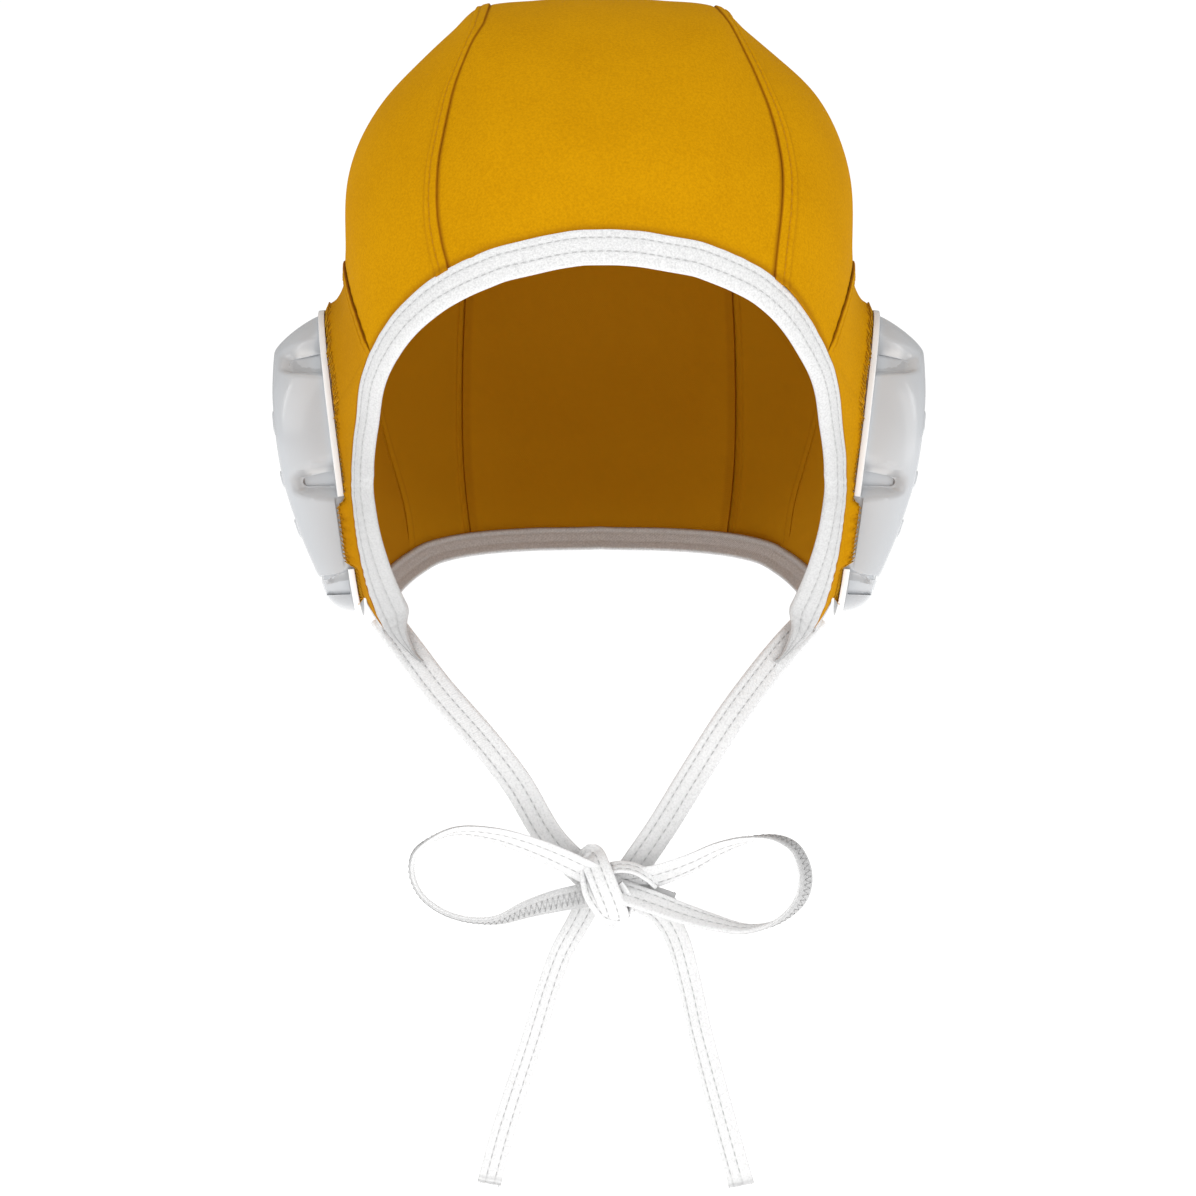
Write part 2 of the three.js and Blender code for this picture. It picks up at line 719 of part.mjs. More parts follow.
function makeGuardCup() {
  const wallShares = [0.02, 0.3, 0.55, 0.78, 1];
  const turns = shares(guardColumns).slice(0, -1).map((share) => share * 360);
  const ringAt = (inset, out) =>
    turns.map((turn) => {
      const plan = guardOutline(turn, inset);
      return inGuard(plan.back, plan.up, out);
    });
  const outer = [ringAt(0, 0), ringAt(0, flangeHeight)];
  const inner = [ringAt(flangeWidth, 0), ringAt(flangeWidth, flangeHeight - guardWall / 4)];
  for (const share of wallShares) {
    outer.push(turns.map((turn) => guardPoint(turn, share, 0)));
    inner.push(turns.map((turn) => guardPoint(turn, share, guardWall)));
  }
  const halfway = (line, lift) =>
    line.map((point) => {
      const away = point.clone().lerp(guardCentre, 0.5).sub(guardCentre);
      const up = away.dot(guardUp);
      return inGuard(away.y, up, guardDeep(up) + lift);
    });
  outer.push(halfway(outer.at(-1), faceDome));
  inner.push(halfway(inner.at(-1), faceDome - guardWall));
  return cappedCup(outer, inner);
}

// Cup whose outer and inner grids end in one middle point each
function cappedCup(outer, inner) {
  const columns = outer[0].length;
  const rows = outer.length;
  const points = [...outer.flat(), ...inner.flat()];
  const middleOf = (line) =>
    line.reduce((sum, point) => sum.add(point), new THREE.Vector3()).divideScalar(columns);
  points.push(middleOf(outer.at(-1)), middleOf(inner.at(-1)));
  const faces = [];
  const quad = (a, b, c, d) => faces.push([a, b, c], [a, c, d]);
  const front = (row, column) => row * columns + (column % columns);
  const back = (row, column) => front(row, column) + rows * columns;
  for (let column = 0; column < columns; column += 1) {
    for (let row = 0; row < rows - 1; row += 1) {
      quad(front(row, column), front(row, column + 1), front(row + 1, column + 1), front(row + 1, column));
      quad(back(row, column), back(row + 1, column), back(row + 1, column + 1), back(row, column + 1));
    }
    quad(front(0, column), back(0, column), back(0, column + 1), front(0, column + 1));
    faces.push([front(rows - 1, column), front(rows - 1, column + 1), points.length - 2]);
    faces.push([back(rows - 1, column), points.length - 1, back(rows - 1, column + 1)]);
  }
  return closedSolid(points, faces);
}

// Boolean solids
function bareGeometry(geometry) {
  const bare = geometry.clone();
  bare.deleteAttribute("normal");
  bare.deleteAttribute("uv");
  return mergeVertices(bare, 1e-4);
}

function solidOf(geometry) {
  const bare = bareGeometry(geometry);
  return new wasm.Manifold(
    new wasm.Mesh({
      numProp: 3,
      vertProperties: bare.getAttribute("position").array,
      triVerts: new Uint32Array(bare.getIndex().array),
    }),
  );
}

function geometryOf(solid) {
  const mesh = solid.getMesh();
  const geometry = new THREE.BufferGeometry();
  geometry.setAttribute("position", new THREE.BufferAttribute(mesh.vertProperties, 3));
  geometry.setIndex(Array.from(mesh.triVerts));
  return geometry;
}

// Teardrop slot through the wall at the foot of a flute
function slotCutter(slotUp, side) {
  const half = slotHeight / 2;
  const tip = half * 0.6;
  const outline = new THREE.Shape();
  outline.moveTo(0, -half);
  outline.lineTo(slotLength - half, -tip);
  outline.quadraticCurveTo(slotLength, 0, slotLength - half, tip);
  outline.lineTo(0, half);
  outline.closePath();
  const through = guardWidth / 3;
  const cutter = new THREE.ExtrudeGeometry(outline, {
    depth: through,
    bevelEnabled: false,
    curveSegments: 4,
  });
  cutter.rotateX(90 * degrees);
  cutter.rotateY(guardLean * degrees);
  const start = inGuard(side * (guardWidth / 2 - through / 4), slotUp, flangeHeight + slotRise);
  cutter.translate(start.x, start.y + through / 2, start.z);
  return cutter;
}

// Raised pad that follows the guard's outer face, lower towards its two ends
function padOnFace({ up, tall, long }) {
  const endLoss = 0.25;
  const face = (lift) =>
    shares(2).map((upShare) =>
      shares(4).map((backShare) => {
        const end = 1 - endLoss * Math.abs(backShare * 2 - 1) ** 4;
        const place = (up * guardHeight) / 2 + (upShare - 0.5) * tall * guardHeight * end;
        return inGuard((backShare - 0.5) * long * guardWidth, place, guardDeep(place) + lift);
      }),
    );
  return wallBetween(face(padRise), face(-padRoot));
}

function makeEarGuard() {
  let guard = solidOf(makeGuardCup());
  for (const pad of facePads) {
    guard = guard.add(solidOf(padOnFace(pad)));
  }
  for (const flute of flutes) {
    for (const side of [-1, 1]) {
      guard = guard.subtract(solidOf(slotCutter((flute.slotUp * guardHeight) / 2, side)));
    }
  }
  const notch = new THREE.BoxGeometry(rimNotchDepth * 2, guardWidth, rimNotchHeight);
  notch.rotateY(guardLean * degrees);
  const notchAt = inGuard(-guardWidth / 2, -rimNotchDrop, 0);
  notch.translate(notchAt.x, notchAt.y, notchAt.z);
  guard = guard.subtract(solidOf(notch));
  return geometryOf(guard);
}

// Flat tape: each station holds its front points and its back points
function tapeBetween(stations) {
  return wallBetween(
    stations.map((station) => station.front),
    stations.map((station) => station.back),
  );
}

// Face binding: strips of tape between the cloth and the opening, which run out to a point
// below each flap tip
const bindingEnd = rimTable.at(-1).along;
const bindingPoint = { start: 0.97, stop: bindingEnd, loss: 0.92 };
const bindingFaceTurn = { start: 0.94, stop: 1.04 };
const thick = clothWall + 2 * bindingProud;

function bindingStation(along, side) {
  const at = (place) => {
    const point = rimLine(Math.abs(place));
    point.x *= Math.sign(place) || 1;
    return point;
  };
  const step = 0.004;
  const place = along * side;
  const point = at(place);
  const tangent = at(place + step).sub(at(place - step)).normalize();
  const forward = new THREE.Vector3(0, -1, 0);
  const inward = tangent.clone().cross(forward).normalize();
  const outerTurn = read(rimTable, "along", along, "outerTurn") * degrees;
  const innerTurn = read(rimTable, "along", along, "innerTurn") * degrees;
  const turns = [outerTurn, outerTurn, innerTurn];
  const narrow = 1 - bindingPoint.loss * easeBetween(bindingPoint.start, bindingPoint.stop, along);
  const front = [point.clone()];
  const sides = [];
  tapeStrips.forEach(({ wide }, index) => {
    const run = inward.clone().multiplyScalar(Math.cos(turns[index]));
    run.addScaledVector(forward, Math.sin(turns[index]));
    sides.push(run);
    front.push(front.at(-1).clone().addScaledVector(run, wide * bindingWidth * narrow));
  });
  const ray = point.clone().sub(earAxis).normalize();
  const faceOf = (run) => tangent.clone().cross(run).normalize();
  const facing = easeBetween(bindingFaceTurn.start, bindingFaceTurn.stop, along);
  const normals = [
    ray.lerp(faceOf(sides[0]), facing).normalize(),
    faceOf(sides[0].clone().add(sides[1])),
    faceOf(sides[1].clone().add(sides[2])),
    faceOf(sides[2]),
  ];
  return {
    front: front.map((corner, index) => corner.clone().addScaledVector(normals[index], bindingProud)),
    back: front.map((corner, index) =>
      corner.clone().addScaledVector(normals[index], bindingProud - thick),
    ),
  };
}

function makeFaceBinding() {
  const half = shares(bindingRows).map((share) => share * bindingEnd);
  const left = half.slice(1).reverse().map((along) => bindingStation(along, -1));
  const right = half.map((along) => bindingStation(along, 1));
  return tapeBetween([...left, ...right]);
}

// Nape binding: one band below the cloth's lower edge, which curls in towards the neck
function napeStation(along, side) {
  const step = 0.01;
  const point = napeLine(along);
  const ahead = napeLine(Math.min(along + step, 1));
  const before = napeLine(Math.max(along - step, 0));
  const tangent = ahead.sub(before).normalize();
  const ray = point.clone().sub(earAxis).normalize();
  const down = ray.clone().cross(tangent).normalize();
  if (down.z > 0) {
    down.negate();
  }
  const front = shares(2).map((share) =>
    point
      .clone()
      .addScaledVector(down, mix(seamGap, napeBandWidth, share))
      .addScaledVector(ray, -napeBandTuck * share * share),
  );
  const station = {
    front: front.map((corner) => corner.clone().addScaledVector(ray, bindingProud)),
    back: front.map((corner) => corner.clone().addScaledVector(ray, bindingProud - thick)),
  };
  for (const corner of [...station.front, ...station.back]) {
    corner.x *= side;
  }
  return station;
}

function makeNapeBinding() {
  const start = 0.06;
  const half = shares(napeRows).map((share) => mix(start, 1, share));
  const left = half.map((along) => napeStation(along, -1));
  const right = half.slice(0, -1).reverse().map((along) => napeStation(along, 1));
  return tapeBetween([...left, ...right]);
}

// Places and leans of the loose tapes, worked out from the pieces that they join;
// side is -1 on the left and 1 on the right
function tieRoute(table, side) {
  const tip = rimLine(1);
  return table.map(({ across, front, down, lean }) => ({
    x: mix(side * tip.x, knotCentre.x, across),
    y: mix(tip.y, knotCentre.y, front),
    z: mix(tip.z, knotCentre.z, down),
    lean: -side * lean,
  }));
}

function loopRoute(table, side, reach) {
  return table.map(({ across, front, up, lean }) => ({
    x: knotCentre.x + side * reach * across,
    y: knotCentre.y - loopFront * front,
    z: knotCentre.z + loopHalfHeight * up,
    lean: -side * lean,
  }));
}

function tailRoute(table, side, spread, drop) {
  return table.map(({ across, back, down, lean }) => ({
    x: knotCentre.x + side * spread * across,
    y: knotCentre.y + tailBack * back,
    z: knotCentre.z - drop * down,
    lean: -side * lean,
  }));
}

// Flat tape along a route
function looseTape(route, steps) {
  const curve = new THREE.CatmullRomCurve3(
    route.map(({ x, y, z }) => new THREE.Vector3(x, y, z)),
    false,
    "centripetal",
  );
  const depth = new THREE.Vector3(0, 1, 0);
  const leans = route.map(({ lean }, row) => ({ row, lean }));
  return tapeBetween(
    shares(steps).map((share) => {
      const middle = curve.getPoint(share);
      const tangent = curve.getTangent(share);
      const flat = tangent.clone().cross(depth).normalize();
      const deep = flat.clone().cross(tangent).normalize();
      const lean = read(leans, "row", share * (route.length - 1), "lean") * degrees;
      const across = flat.clone().multiplyScalar(Math.cos(lean)).addScaledVector(deep, Math.sin(lean));
      const face = across.clone().cross(tangent).normalize();
      const corner = (width, thick) =>
        middle.clone().addScaledVector(across, width).addScaledVector(face, thick);
      const [half, skin] = [tieWidth / 2, tieThickness / 2];
      return {
        front: [corner(-half, skin), corner(half, skin)],
        back: [corner(-half, -skin), corner(half, -skin)],
      };
    }),
  );
}

// Knot: a lump with the wrapped band raised across it
function knotLump(grow) {
  const facets = { around: 20, rings: 12 };
  const bandEdge = { start: 0.4, stop: 0.75 };
  const bandAxis = new THREE.Vector3(0.82, 0.1, 0.56).normalize();
  const size = new THREE.Vector3(knotWidth, knotDepth, knotHeight);
  const lump = new THREE.SphereGeometry(0.5, facets.around, facets.rings);
  const place = lump.getAttribute("position");
  for (let index = 0; index < place.count; index += 1) {
    const point = new THREE.Vector3().fromBufferAttribute(place, index);
    const across = Math.abs(point.dot(bandAxis)) * 2;
    const raised = 1 + knotBandRise * (1 - easeBetween(bandEdge.start, bandEdge.stop, across));
    point.multiply(size).multiplyScalar(raised);
    point.addScaledVector(point.clone().normalize(), grow);
    place.setXYZ(index, point.x + knotCentre.x, point.y + knotCentre.y, point.z + knotCentre.z);
  }
  return bareGeometry(lump);
}

const knotRoom = solidOf(knotLump(knotGap));

function intoKnot(route, steps) {
  return geometryOf(solidOf(looseTape(route, steps)).subtract(knotRoom));
}

// Finishes
const cloth = { color: 0xd39608, roughness: 0.85, metalness: 0 };
const whiteTape = { color: 0xf4f4f2, roughness: 0.8, metalness: 0 };
const softPlastic = { color: 0xe4e4e4, roughness: 0.25, metalness: 0 };

const cap = new THREE.Group();

function add(name, geometry, finish) {
  const mesh = new THREE.Mesh(geometry, new THREE.MeshStandardMaterial(finish));
  mesh.name = name;
  mesh.geometry.computeVertexNormals();
  cap.add(mesh);
}

add("centre_panel", makeCentrePanel(), cloth);
const pairs = [
  ["side_panel", makeSidePanel(), cloth],
  ["ear_panel", makeEarPanel(), cloth],
  ["ear_guard", makeEarGuard(), softPlastic],
];
for (const [name, geometry, finish] of pairs) {
  add(`${name}_right`, geometry, finish);
  add(`${name}_left`, mirrored(geometry), finish);
}
add("face_binding", makeFaceBinding(), whiteTape);
add("nape_binding", makeNapeBinding(), whiteTape);
const tapes = [
  ["tie_left", tieRoute(tieLeftRoute, -1), tieRows],
  ["tie_right", tieRoute(tieRightRoute, 1), tieRows],
  ["bow_loop_left", loopRoute(loopLeftRoute, -1, loopLeftReach), loopLeftRows],
  ["bow_loop_right", loopRoute(loopRightRoute, 1, loopRightReach), loopRightRows],
  ["bow_tail_left", tailRoute(tailLeftRoute, -1, tailLeftSpread, tailLeftDrop), tieRows],
  ["bow_tail_right", tailRoute(tailRightRoute, 1, tailRightSpread, tailRightDrop), tieRows],
];
for (const [name, route, rows] of tapes) {
  add(name, intoKnot(route, rows), whiteTape);
}
add("bow_knot", knotLump(0), whiteTape);

export default cap;
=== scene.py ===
# Water polo cap: stretched cloth panels, moulded ear guards, taped edges and a bow under the chin.
# Sizes are in millimetres; they become metres when a mesh is made.
import math

import bpy
import numpy as np
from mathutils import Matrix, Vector


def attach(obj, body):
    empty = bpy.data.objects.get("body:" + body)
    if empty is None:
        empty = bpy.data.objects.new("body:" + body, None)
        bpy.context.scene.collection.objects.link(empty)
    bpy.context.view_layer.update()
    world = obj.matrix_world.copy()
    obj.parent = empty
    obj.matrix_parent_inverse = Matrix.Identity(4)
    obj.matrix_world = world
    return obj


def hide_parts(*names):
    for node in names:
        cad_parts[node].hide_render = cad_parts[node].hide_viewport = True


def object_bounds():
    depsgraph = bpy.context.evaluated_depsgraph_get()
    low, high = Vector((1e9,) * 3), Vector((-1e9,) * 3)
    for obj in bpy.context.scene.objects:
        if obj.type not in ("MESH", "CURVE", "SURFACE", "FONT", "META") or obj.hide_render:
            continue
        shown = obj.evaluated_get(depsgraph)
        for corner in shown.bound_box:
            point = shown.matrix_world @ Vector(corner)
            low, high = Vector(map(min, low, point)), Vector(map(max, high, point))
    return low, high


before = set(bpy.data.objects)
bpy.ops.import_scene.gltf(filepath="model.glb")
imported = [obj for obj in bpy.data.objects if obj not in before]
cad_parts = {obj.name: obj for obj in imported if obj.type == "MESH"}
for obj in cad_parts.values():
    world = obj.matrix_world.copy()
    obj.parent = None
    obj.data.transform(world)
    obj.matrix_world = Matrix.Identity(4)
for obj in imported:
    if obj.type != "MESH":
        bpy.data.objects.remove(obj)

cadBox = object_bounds()
mm = 0.001
deg = math.pi / 180


def addObject(name, data):
    made = bpy.data.objects.new(name, data)
    bpy.context.collection.objects.link(made)
    return made


# level camera in front of the face; a pixel is the photo's, at the plane of the ears
def makeCamera():
    view = {"place": (-0.0003, -1.6, -0.1827), "pixel": 0.3075 * mm, "frame": 1196, "sensor": 36.0}
    camera = bpy.data.cameras.new("studioCamera")
    camera.sensor_width = view["sensor"]
    camera.sensor_fit = "HORIZONTAL"
    camera.lens = view["sensor"] * -view["place"][1] / (view["pixel"] * view["frame"])
    camera.clip_end = 100
    holder = addObject("studioCamera", camera)
    holder.location = view["place"]
    holder.rotation_euler = (math.pi / 2, 0, 0)
    bpy.context.scene.camera = holder


makeCamera()
print("camera made")

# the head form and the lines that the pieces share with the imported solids
head = {"crown": 135, "halfWidth": 79, "cloth": 1.2, "topPower": 3.1}
opening = {
    "halfWidth": 73.9, "rise": 60, "widestDrop": 11, "power": 2.4, "front": 89,
    "flapTuck": 0.115, "flapDrop": 56.3,
}
nape = {"back": 86, "drop": 24}
earAxis = np.array([0.0, 0.0, -head["crown"]])
crownReach = head["crown"] + head["cloth"]


def table(names, *rows):
    return {name: np.array(column, float) for name, column in zip(names.split(), zip(*rows))}


middleSection = table(
    "turn reach power corner",
    (-90, 0.74, 2.2, 0), (-55, 0.72, 2.2, 0), (-20, 0.665, 2.35, 0), (5, 0.66, 2.4, 0.05),
    (20, 0.735, 2.6, 0.15), (35, 0.797, 2.7, 0.3), (50, 0.884, 2.8, 0.6), (70, 0.972, 3, 0.95),
    (90, 1, 3.1, 1), (112, 0.985, 3, 0.9), (135, 0.942, 2.8, 0.65), (160, 0.82, 2.6, 0.4),
    (180, 0.72, 2.5, 0.2), (200, 0.662, 2.4, 0.05), (230, 0.69, 2.2, 0), (270, 0.74, 2.2, 0),
)
topSection = table(
    "tilt reach",
    (0, 1), (8, 1.005), (15.6, 1.014), (19.5, 0.984), (25, 0.949), (32.3, 0.909),
    (38.3, 0.867), (43.4, 0.82), (53.1, 0.712), (66, 0.63), (90, 0.58),
)
# the two top seams, each as the photo shows it on its own side
topSeam = table(
    "turn across",
    (0, 0.52), (28, 0.548), (35, 0.581), (41, 0.6), (48.5, 0.598), (55.5, 0.571), (62, 0.537),
    (67, 0.49), (73, 0.436), (90, 0.42), (112, 0.44), (135, 0.5), (160, 0.54), (185, 0.53), (215, 0.46),
)
topSeamRight = table(
    "turn across",
    (0, 0.6), (28, 0.645), (36, 0.662), (43, 0.68), (49, 0.686), (54, 0.676), (60, 0.645),
    (66, 0.592), (72, 0.535), (80, 0.464), (90, 0.445), (112, 0.447), (135, 0.5), (160, 0.54),
    (185, 0.53), (215, 0.46),
)
earSeam = table(
    "turn away",
    (0, 0.9), (20, 0.858), (40, 0.79), (65, 0.725), (90, 0.709), (120, 0.735),
    (150, 0.79), (180, 0.83), (220, 0.85),
)
rimTable = table(
    "along front outerTurn innerTurn",
    (0, 1, 4, 0), (0.0833, 0.994, 6, 2), (0.1667, 0.97, 14, 5), (0.25, 0.9, 28, 12),
    (0.3333, 0.75, 44, 22), (0.4167, 0.56, 56, 29), (0.5, 0.415, 62, 33), (0.65, 0.365, 60, 33),
    (0.8, 0.3, 48, 28), (0.9, 0.25, 36, 22), (1, 0.235, 26, 16), (1.12, 0.33, 14, 8),
)
# how far the photo's edge of the face opening lies above the form's line, in mm, on each side
rimLift = table(
    "along left right",
    (0, -0.95, -0.95), (0.012, -1.05, -0.95), (0.035, -1.7, -1.05), (0.08, -2.6, -1.2), (0.13, -1.7, 0.3),
    (0.18, -0.3, 2.0), (0.23, 0.9, 3.5), (0.275, 1.0, 3.0), (0.335, 0.1, 0.3), (0.38, 0, 0), (1.2, 0, 0),
)
napeTable = table(
    "along across back lower",
    (0, 0.884, -0.243, 1), (0.1, 0.93, -0.105, 0.877), (0.2, 0.955, 0.035, 0.798),
    (0.3, 0.96, 0.18, 0.739), (0.4, 0.945, 0.33, 0.64), (0.5, 0.9, 0.48, 0.507),
    (0.6, 0.82, 0.63, 0.345), (0.7, 0.71, 0.765, 0.187), (0.8, 0.53, 0.885, 0.074),
    (0.9, 0.29, 0.97, 0.015), (1, 0, 1, 0),
)


def mix(low, high, share):
    return low + (high - low) * share


def ease(low, high, value):
    share = np.clip((np.asarray(value, float) - low) / (high - low), 0, 1)
    return share * share * (3 - 2 * share)


def unit(vectors):
    return vectors / np.maximum(np.linalg.norm(vectors, axis=-1, keepdims=True), 1e-12)


def dot(first, second):
    return (first * second).sum(-1, keepdims=True)


# smooth value of a table's column at places along its key column
def read(tab, key, place, column):
    keys, values = tab[key], tab[column]
    last = len(keys) - 1
    place = np.asarray(place, float)
    row = np.clip(np.searchsorted(keys, place, side="left") - 1, 0, last - 1)
    before, after, far = np.maximum(row - 1, 0), row + 1, np.minimum(row + 2, last)
    span = keys[after] - keys[row]
    share = np.clip((place - keys[row]) / span, 0, 1)
    leave = (values[after] - values[before]) / (keys[after] - keys[before]) * span
    arrive = (values[far] - values[row]) / (keys[far] - keys[row]) * span
    rest = 1 - share
    return (
        values[row] * (1 + 2 * share) * rest**2 + leave * share * rest**2
        + values[after] * share**2 * (3 - 2 * share) - arrive * share**2 * rest
    )


# place where a rising function passes zero, for a whole array at once
def crossing(low, high, rising):
    under, over = np.broadcast_arrays(np.asarray(low, float), np.asarray(high, float))
    under, over = under.copy(), over.copy()
    for _ in range(36):
        middle = (under + over) / 2
        below = rising(middle) < 0
        under = np.where(below, middle, under)
        over = np.where(below, over, middle)
    return (under + over) / 2


def roundReach(tilt, middle, power):
    side = np.abs(np.sin(tilt * deg)) / head["halfWidth"]
    plane = np.maximum(np.cos(tilt * deg), 0) / middle
    return (side**power + plane**power) ** (-1 / power)


def formReach(tilt, turn):
    steep = np.abs(tilt)
    around = np.where(turn > 270, turn - 360, turn)
    middle = read(middleSection, "turn", around, "reach") * crownReach
    plain = roundReach(steep, middle, read(middleSection, "turn", around, "power"))
    cornered = read(topSection, "tilt", steep, "reach") * crownReach
    corner = cornered / roundReach(steep, crownReach, head["topPower"]) - 1
    return plain * (1 + read(middleSection, "turn", around, "corner") * corner)


def onForm(tilt, turn):
    tilt, turn = np.broadcast_arrays(np.asarray(tilt, float), np.asarray(turn, float))
    flat = np.cos(tilt * deg)
    ray = np.stack([np.sin(tilt * deg), -flat * np.cos(turn * deg), flat * np.sin(turn * deg)], -1)
    return ray * formReach(tilt, turn)[..., None] + earAxis


def bearing(points):
    away = points - earAxis
    turn = np.arctan2(away[..., 2], -away[..., 1]) / deg
    tilt = np.arcsin(np.clip(away[..., 0] / np.linalg.norm(away, axis=-1), -1, 1)) / deg
    return tilt, np.where(turn < -90, turn + 360, turn)


def ontoForm(points):
    return onForm(*bearing(points))


def topSeamTilt(turn, side):
    across = read(topSeamRight if side > 0 else topSeam, "turn", turn, "across") * head["halfWidth"]
    tilt = np.full_like(np.asarray(turn, float), 25.0)
    for _ in range(12):
        tilt = np.arcsin(np.minimum(across / formReach(tilt, turn), 1)) / deg
    return tilt


def earSeamTilt(turn):
    away = read(earSeam, "turn", turn, "away") * head["halfWidth"]
    turn = np.asarray(turn, float)

    def within(tilt):
        return away - formReach(tilt, turn) * np.cos(tilt * deg)

    return crossing(np.full_like(turn, 20), 88, within)


# line where cloth meets the face binding, from its top (0) to the flap tip (1); side is 1 on the right
def rimLine(along, side=-1):
    along = np.asarray(along, float)
    y = -opening["front"] * read(rimTable, "along", along, "front")
    around = np.clip(along, 0, 0.5) * 180 * deg
    power = 2 / opening["power"]
    down = np.maximum(along - 0.5, 0) * 2
    upper = mix(-opening["widestDrop"], opening["rise"], np.maximum(np.cos(around), 0) ** power)
    right, left = (read(rimLift, "along", along, column) for column in ("right", "left"))
    upper = upper + np.where(np.asarray(side) > 0, right, left)
    lower = mix(-opening["widestDrop"], -opening["flapDrop"], down)
    x = opening["halfWidth"] * np.sin(around) ** power * (1 - opening["flapTuck"] * down**4)
    target = np.stack([x, y, earAxis[2] + np.where(along < 0.5, upper, lower)], -1)
    return mix(target, ontoForm(target), (1 - ease(1, 1.08, along))[..., None])


# line of the cloth's lower edge, from the flap tip (0) to the middle of the nape (1)
def napeLine(along):
    along = np.asarray(along, float)
    point = np.stack([
        head["halfWidth"] * read(napeTable, "along", along, "across"),
        nape["back"] * read(napeTable, "along", along, "back"),
        earAxis[2] - mix(nape["drop"], opening["flapDrop"], read(napeTable, "along", along, "lower")),
    ], -1)
    return ontoForm(mix(point, rimLine(1.0), (1 - ease(0, 0.08, along))[..., None]))


# grids of points, and the closed shells made from them

def gridFaces(rows, columns, ring=False):
    across = np.arange(columns if ring else columns - 1)
    row, column = np.meshgrid(np.arange(rows - 1), across, indexing="ij")
    ahead = (column + 1) % columns
    return np.stack([
        row * columns + column, row * columns + ahead,
        (row + 1) * columns + ahead, (row + 1) * columns + column,
    ], -1).reshape(-1, 4)


def gridNormals(grid, ring=False):
    if ring:
        across = np.roll(grid, -1, 1) - np.roll(grid, 1, 1)
    else:
        across = np.gradient(grid, axis=1)
    normals = unit(np.cross(across, np.gradient(grid, axis=0)))
    outward = dot(normals, unit(grid - earAxis)).mean() >= 0
    return normals if outward else -normals


def arcs(grid, axis):
    steps = np.linalg.norm(np.diff(grid, axis=axis), axis=-1)
    pad = [(0, 0), (0, 0)]
    pad[axis] = (1, 0)
    return np.cumsum(np.pad(steps, pad), axis=axis)


def pathLengths(path):
    steps = np.linalg.norm(np.diff(path, axis=0), axis=-1)
    return np.concatenate([[0], np.cumsum(steps)])


def gridArea(grid, ring=False):
    across = (np.roll(grid, -1, 1) - grid)[:-1]
    down = np.diff(grid, axis=0)
    if not ring:
        across, down = across[:, :-1], down[:, :-1]
    return np.linalg.norm(np.cross(down, across), axis=-1).sum()


# a wall between two grids; its values run over both faces
def wallShell(outer, inner, ring=False):
    rows, columns = outer.shape[:2]
    count = rows * columns
    face = gridFaces(rows, columns, ring)
    parts = [face, face[:, ::-1] + count]
    column = np.arange(columns if ring else columns - 1)
    ahead = (column + 1) % columns
    for row, order in ((0, 1), (rows - 1, -1)):
        start = row * columns
        edge = np.stack([start + column, start + column + count, start + ahead + count, start + ahead], -1)
        parts.append(edge[:, ::order])
    if not ring:
        row = np.arange(rows - 1)
        for place, order in ((0, -1), (columns - 1, 1)):
            here, below = row * columns + place, (row + 1) * columns + place
            edge = np.stack([here, here + count, below + count, below], -1)
            parts.append(edge[:, ::order])
    return np.concatenate([outer.reshape(-1, 3), inner.reshape(-1, 3)]), np.concatenate(parts)


def facingOut(points, faces):
    a, b, c, d = (points[faces[:, corner]] for corner in range(4))
    volume = (a * np.cross(b, c)).sum() + (a * np.cross(c, d)).sum()
    return faces if volume > 0 else faces[:, ::-1]


def makePiece(name, points, faces, material, uv=None, marks=None, sharp=40):
    mesh = bpy.data.meshes.new(name)
    mesh.from_pydata((points * mm).tolist(), [], [list(face) for face in faces])
    corner = np.zeros(len(mesh.loops), dtype=np.int64)
    mesh.loops.foreach_get("vertex_index", corner)
    if uv is not None:
        layer = mesh.uv_layers.new(name="cloth")
        layer.data.foreach_set("uv", (uv[corner] * mm).astype(np.float32).ravel())
    for label, values in (marks or {}).items():
        mesh.attributes.new(label, "FLOAT", "POINT").data.foreach_set("value", values.astype(np.float32))
    mesh.materials.append(material)
    mesh.polygons.foreach_set("use_smooth", np.ones(len(mesh.polygons), dtype=bool))
    mesh.set_sharp_from_angle(angle=sharp * deg)
    mesh.validate()
    return addObject(name, mesh)


def mirrored(points):
    return points * np.array([-1.0, 1.0, 1.0])


# what every piece of the cap is told: it rides on the root, and may replace solids
def finishPiece(piece, slot, *nodes):
    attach(piece, "root")
    if nodes:
        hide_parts(*nodes)
    return piece


# shader and geometry nodes, written as expressions

class Wire:
    def __init__(self, nodes, socket):
        self.nodes = nodes
        self.socket = socket

    def maths(self, operation, first, second=None):
        inputs = {0: first} if second is None else {0: first, 1: second}
        return self.nodes.wire("ShaderNodeMath", {"operation": operation}, inputs)

    def __add__(self, other):
        return self.maths("ADD", self, other)

    def __sub__(self, other):
        return self.maths("SUBTRACT", self, other)

    def __rsub__(self, other):
        return self.maths("SUBTRACT", other, self)

    def __mul__(self, other):
        return self.maths("MULTIPLY", self, other)

    __radd__ = __add__
    __rmul__ = __mul__

    def sine(self):
        return self.maths("SINE", self)


class Nodes:
    def __init__(self, tree):
        self.tree = tree

    def node(self, kind, settings=None, inputs=None):
        made = self.tree.nodes.new(kind)
        for name, value in (settings or {}).items():
            setattr(made, name, value)
        for key, value in (inputs or {}).items():
            if isinstance(value, Wire):
                self.tree.links.new(value.socket, made.inputs[key])
            else:
                made.inputs[key].default_value = value
        return made

    def wire(self, kind, settings=None, inputs=None, output=0):
        return Wire(self, self.node(kind, settings, inputs).outputs[output])


def newMaterial(name):
    material = bpy.data.materials.new(name)
    material.use_nodes = True
    material.node_tree.nodes.clear()
    return material, Nodes(material.node_tree)


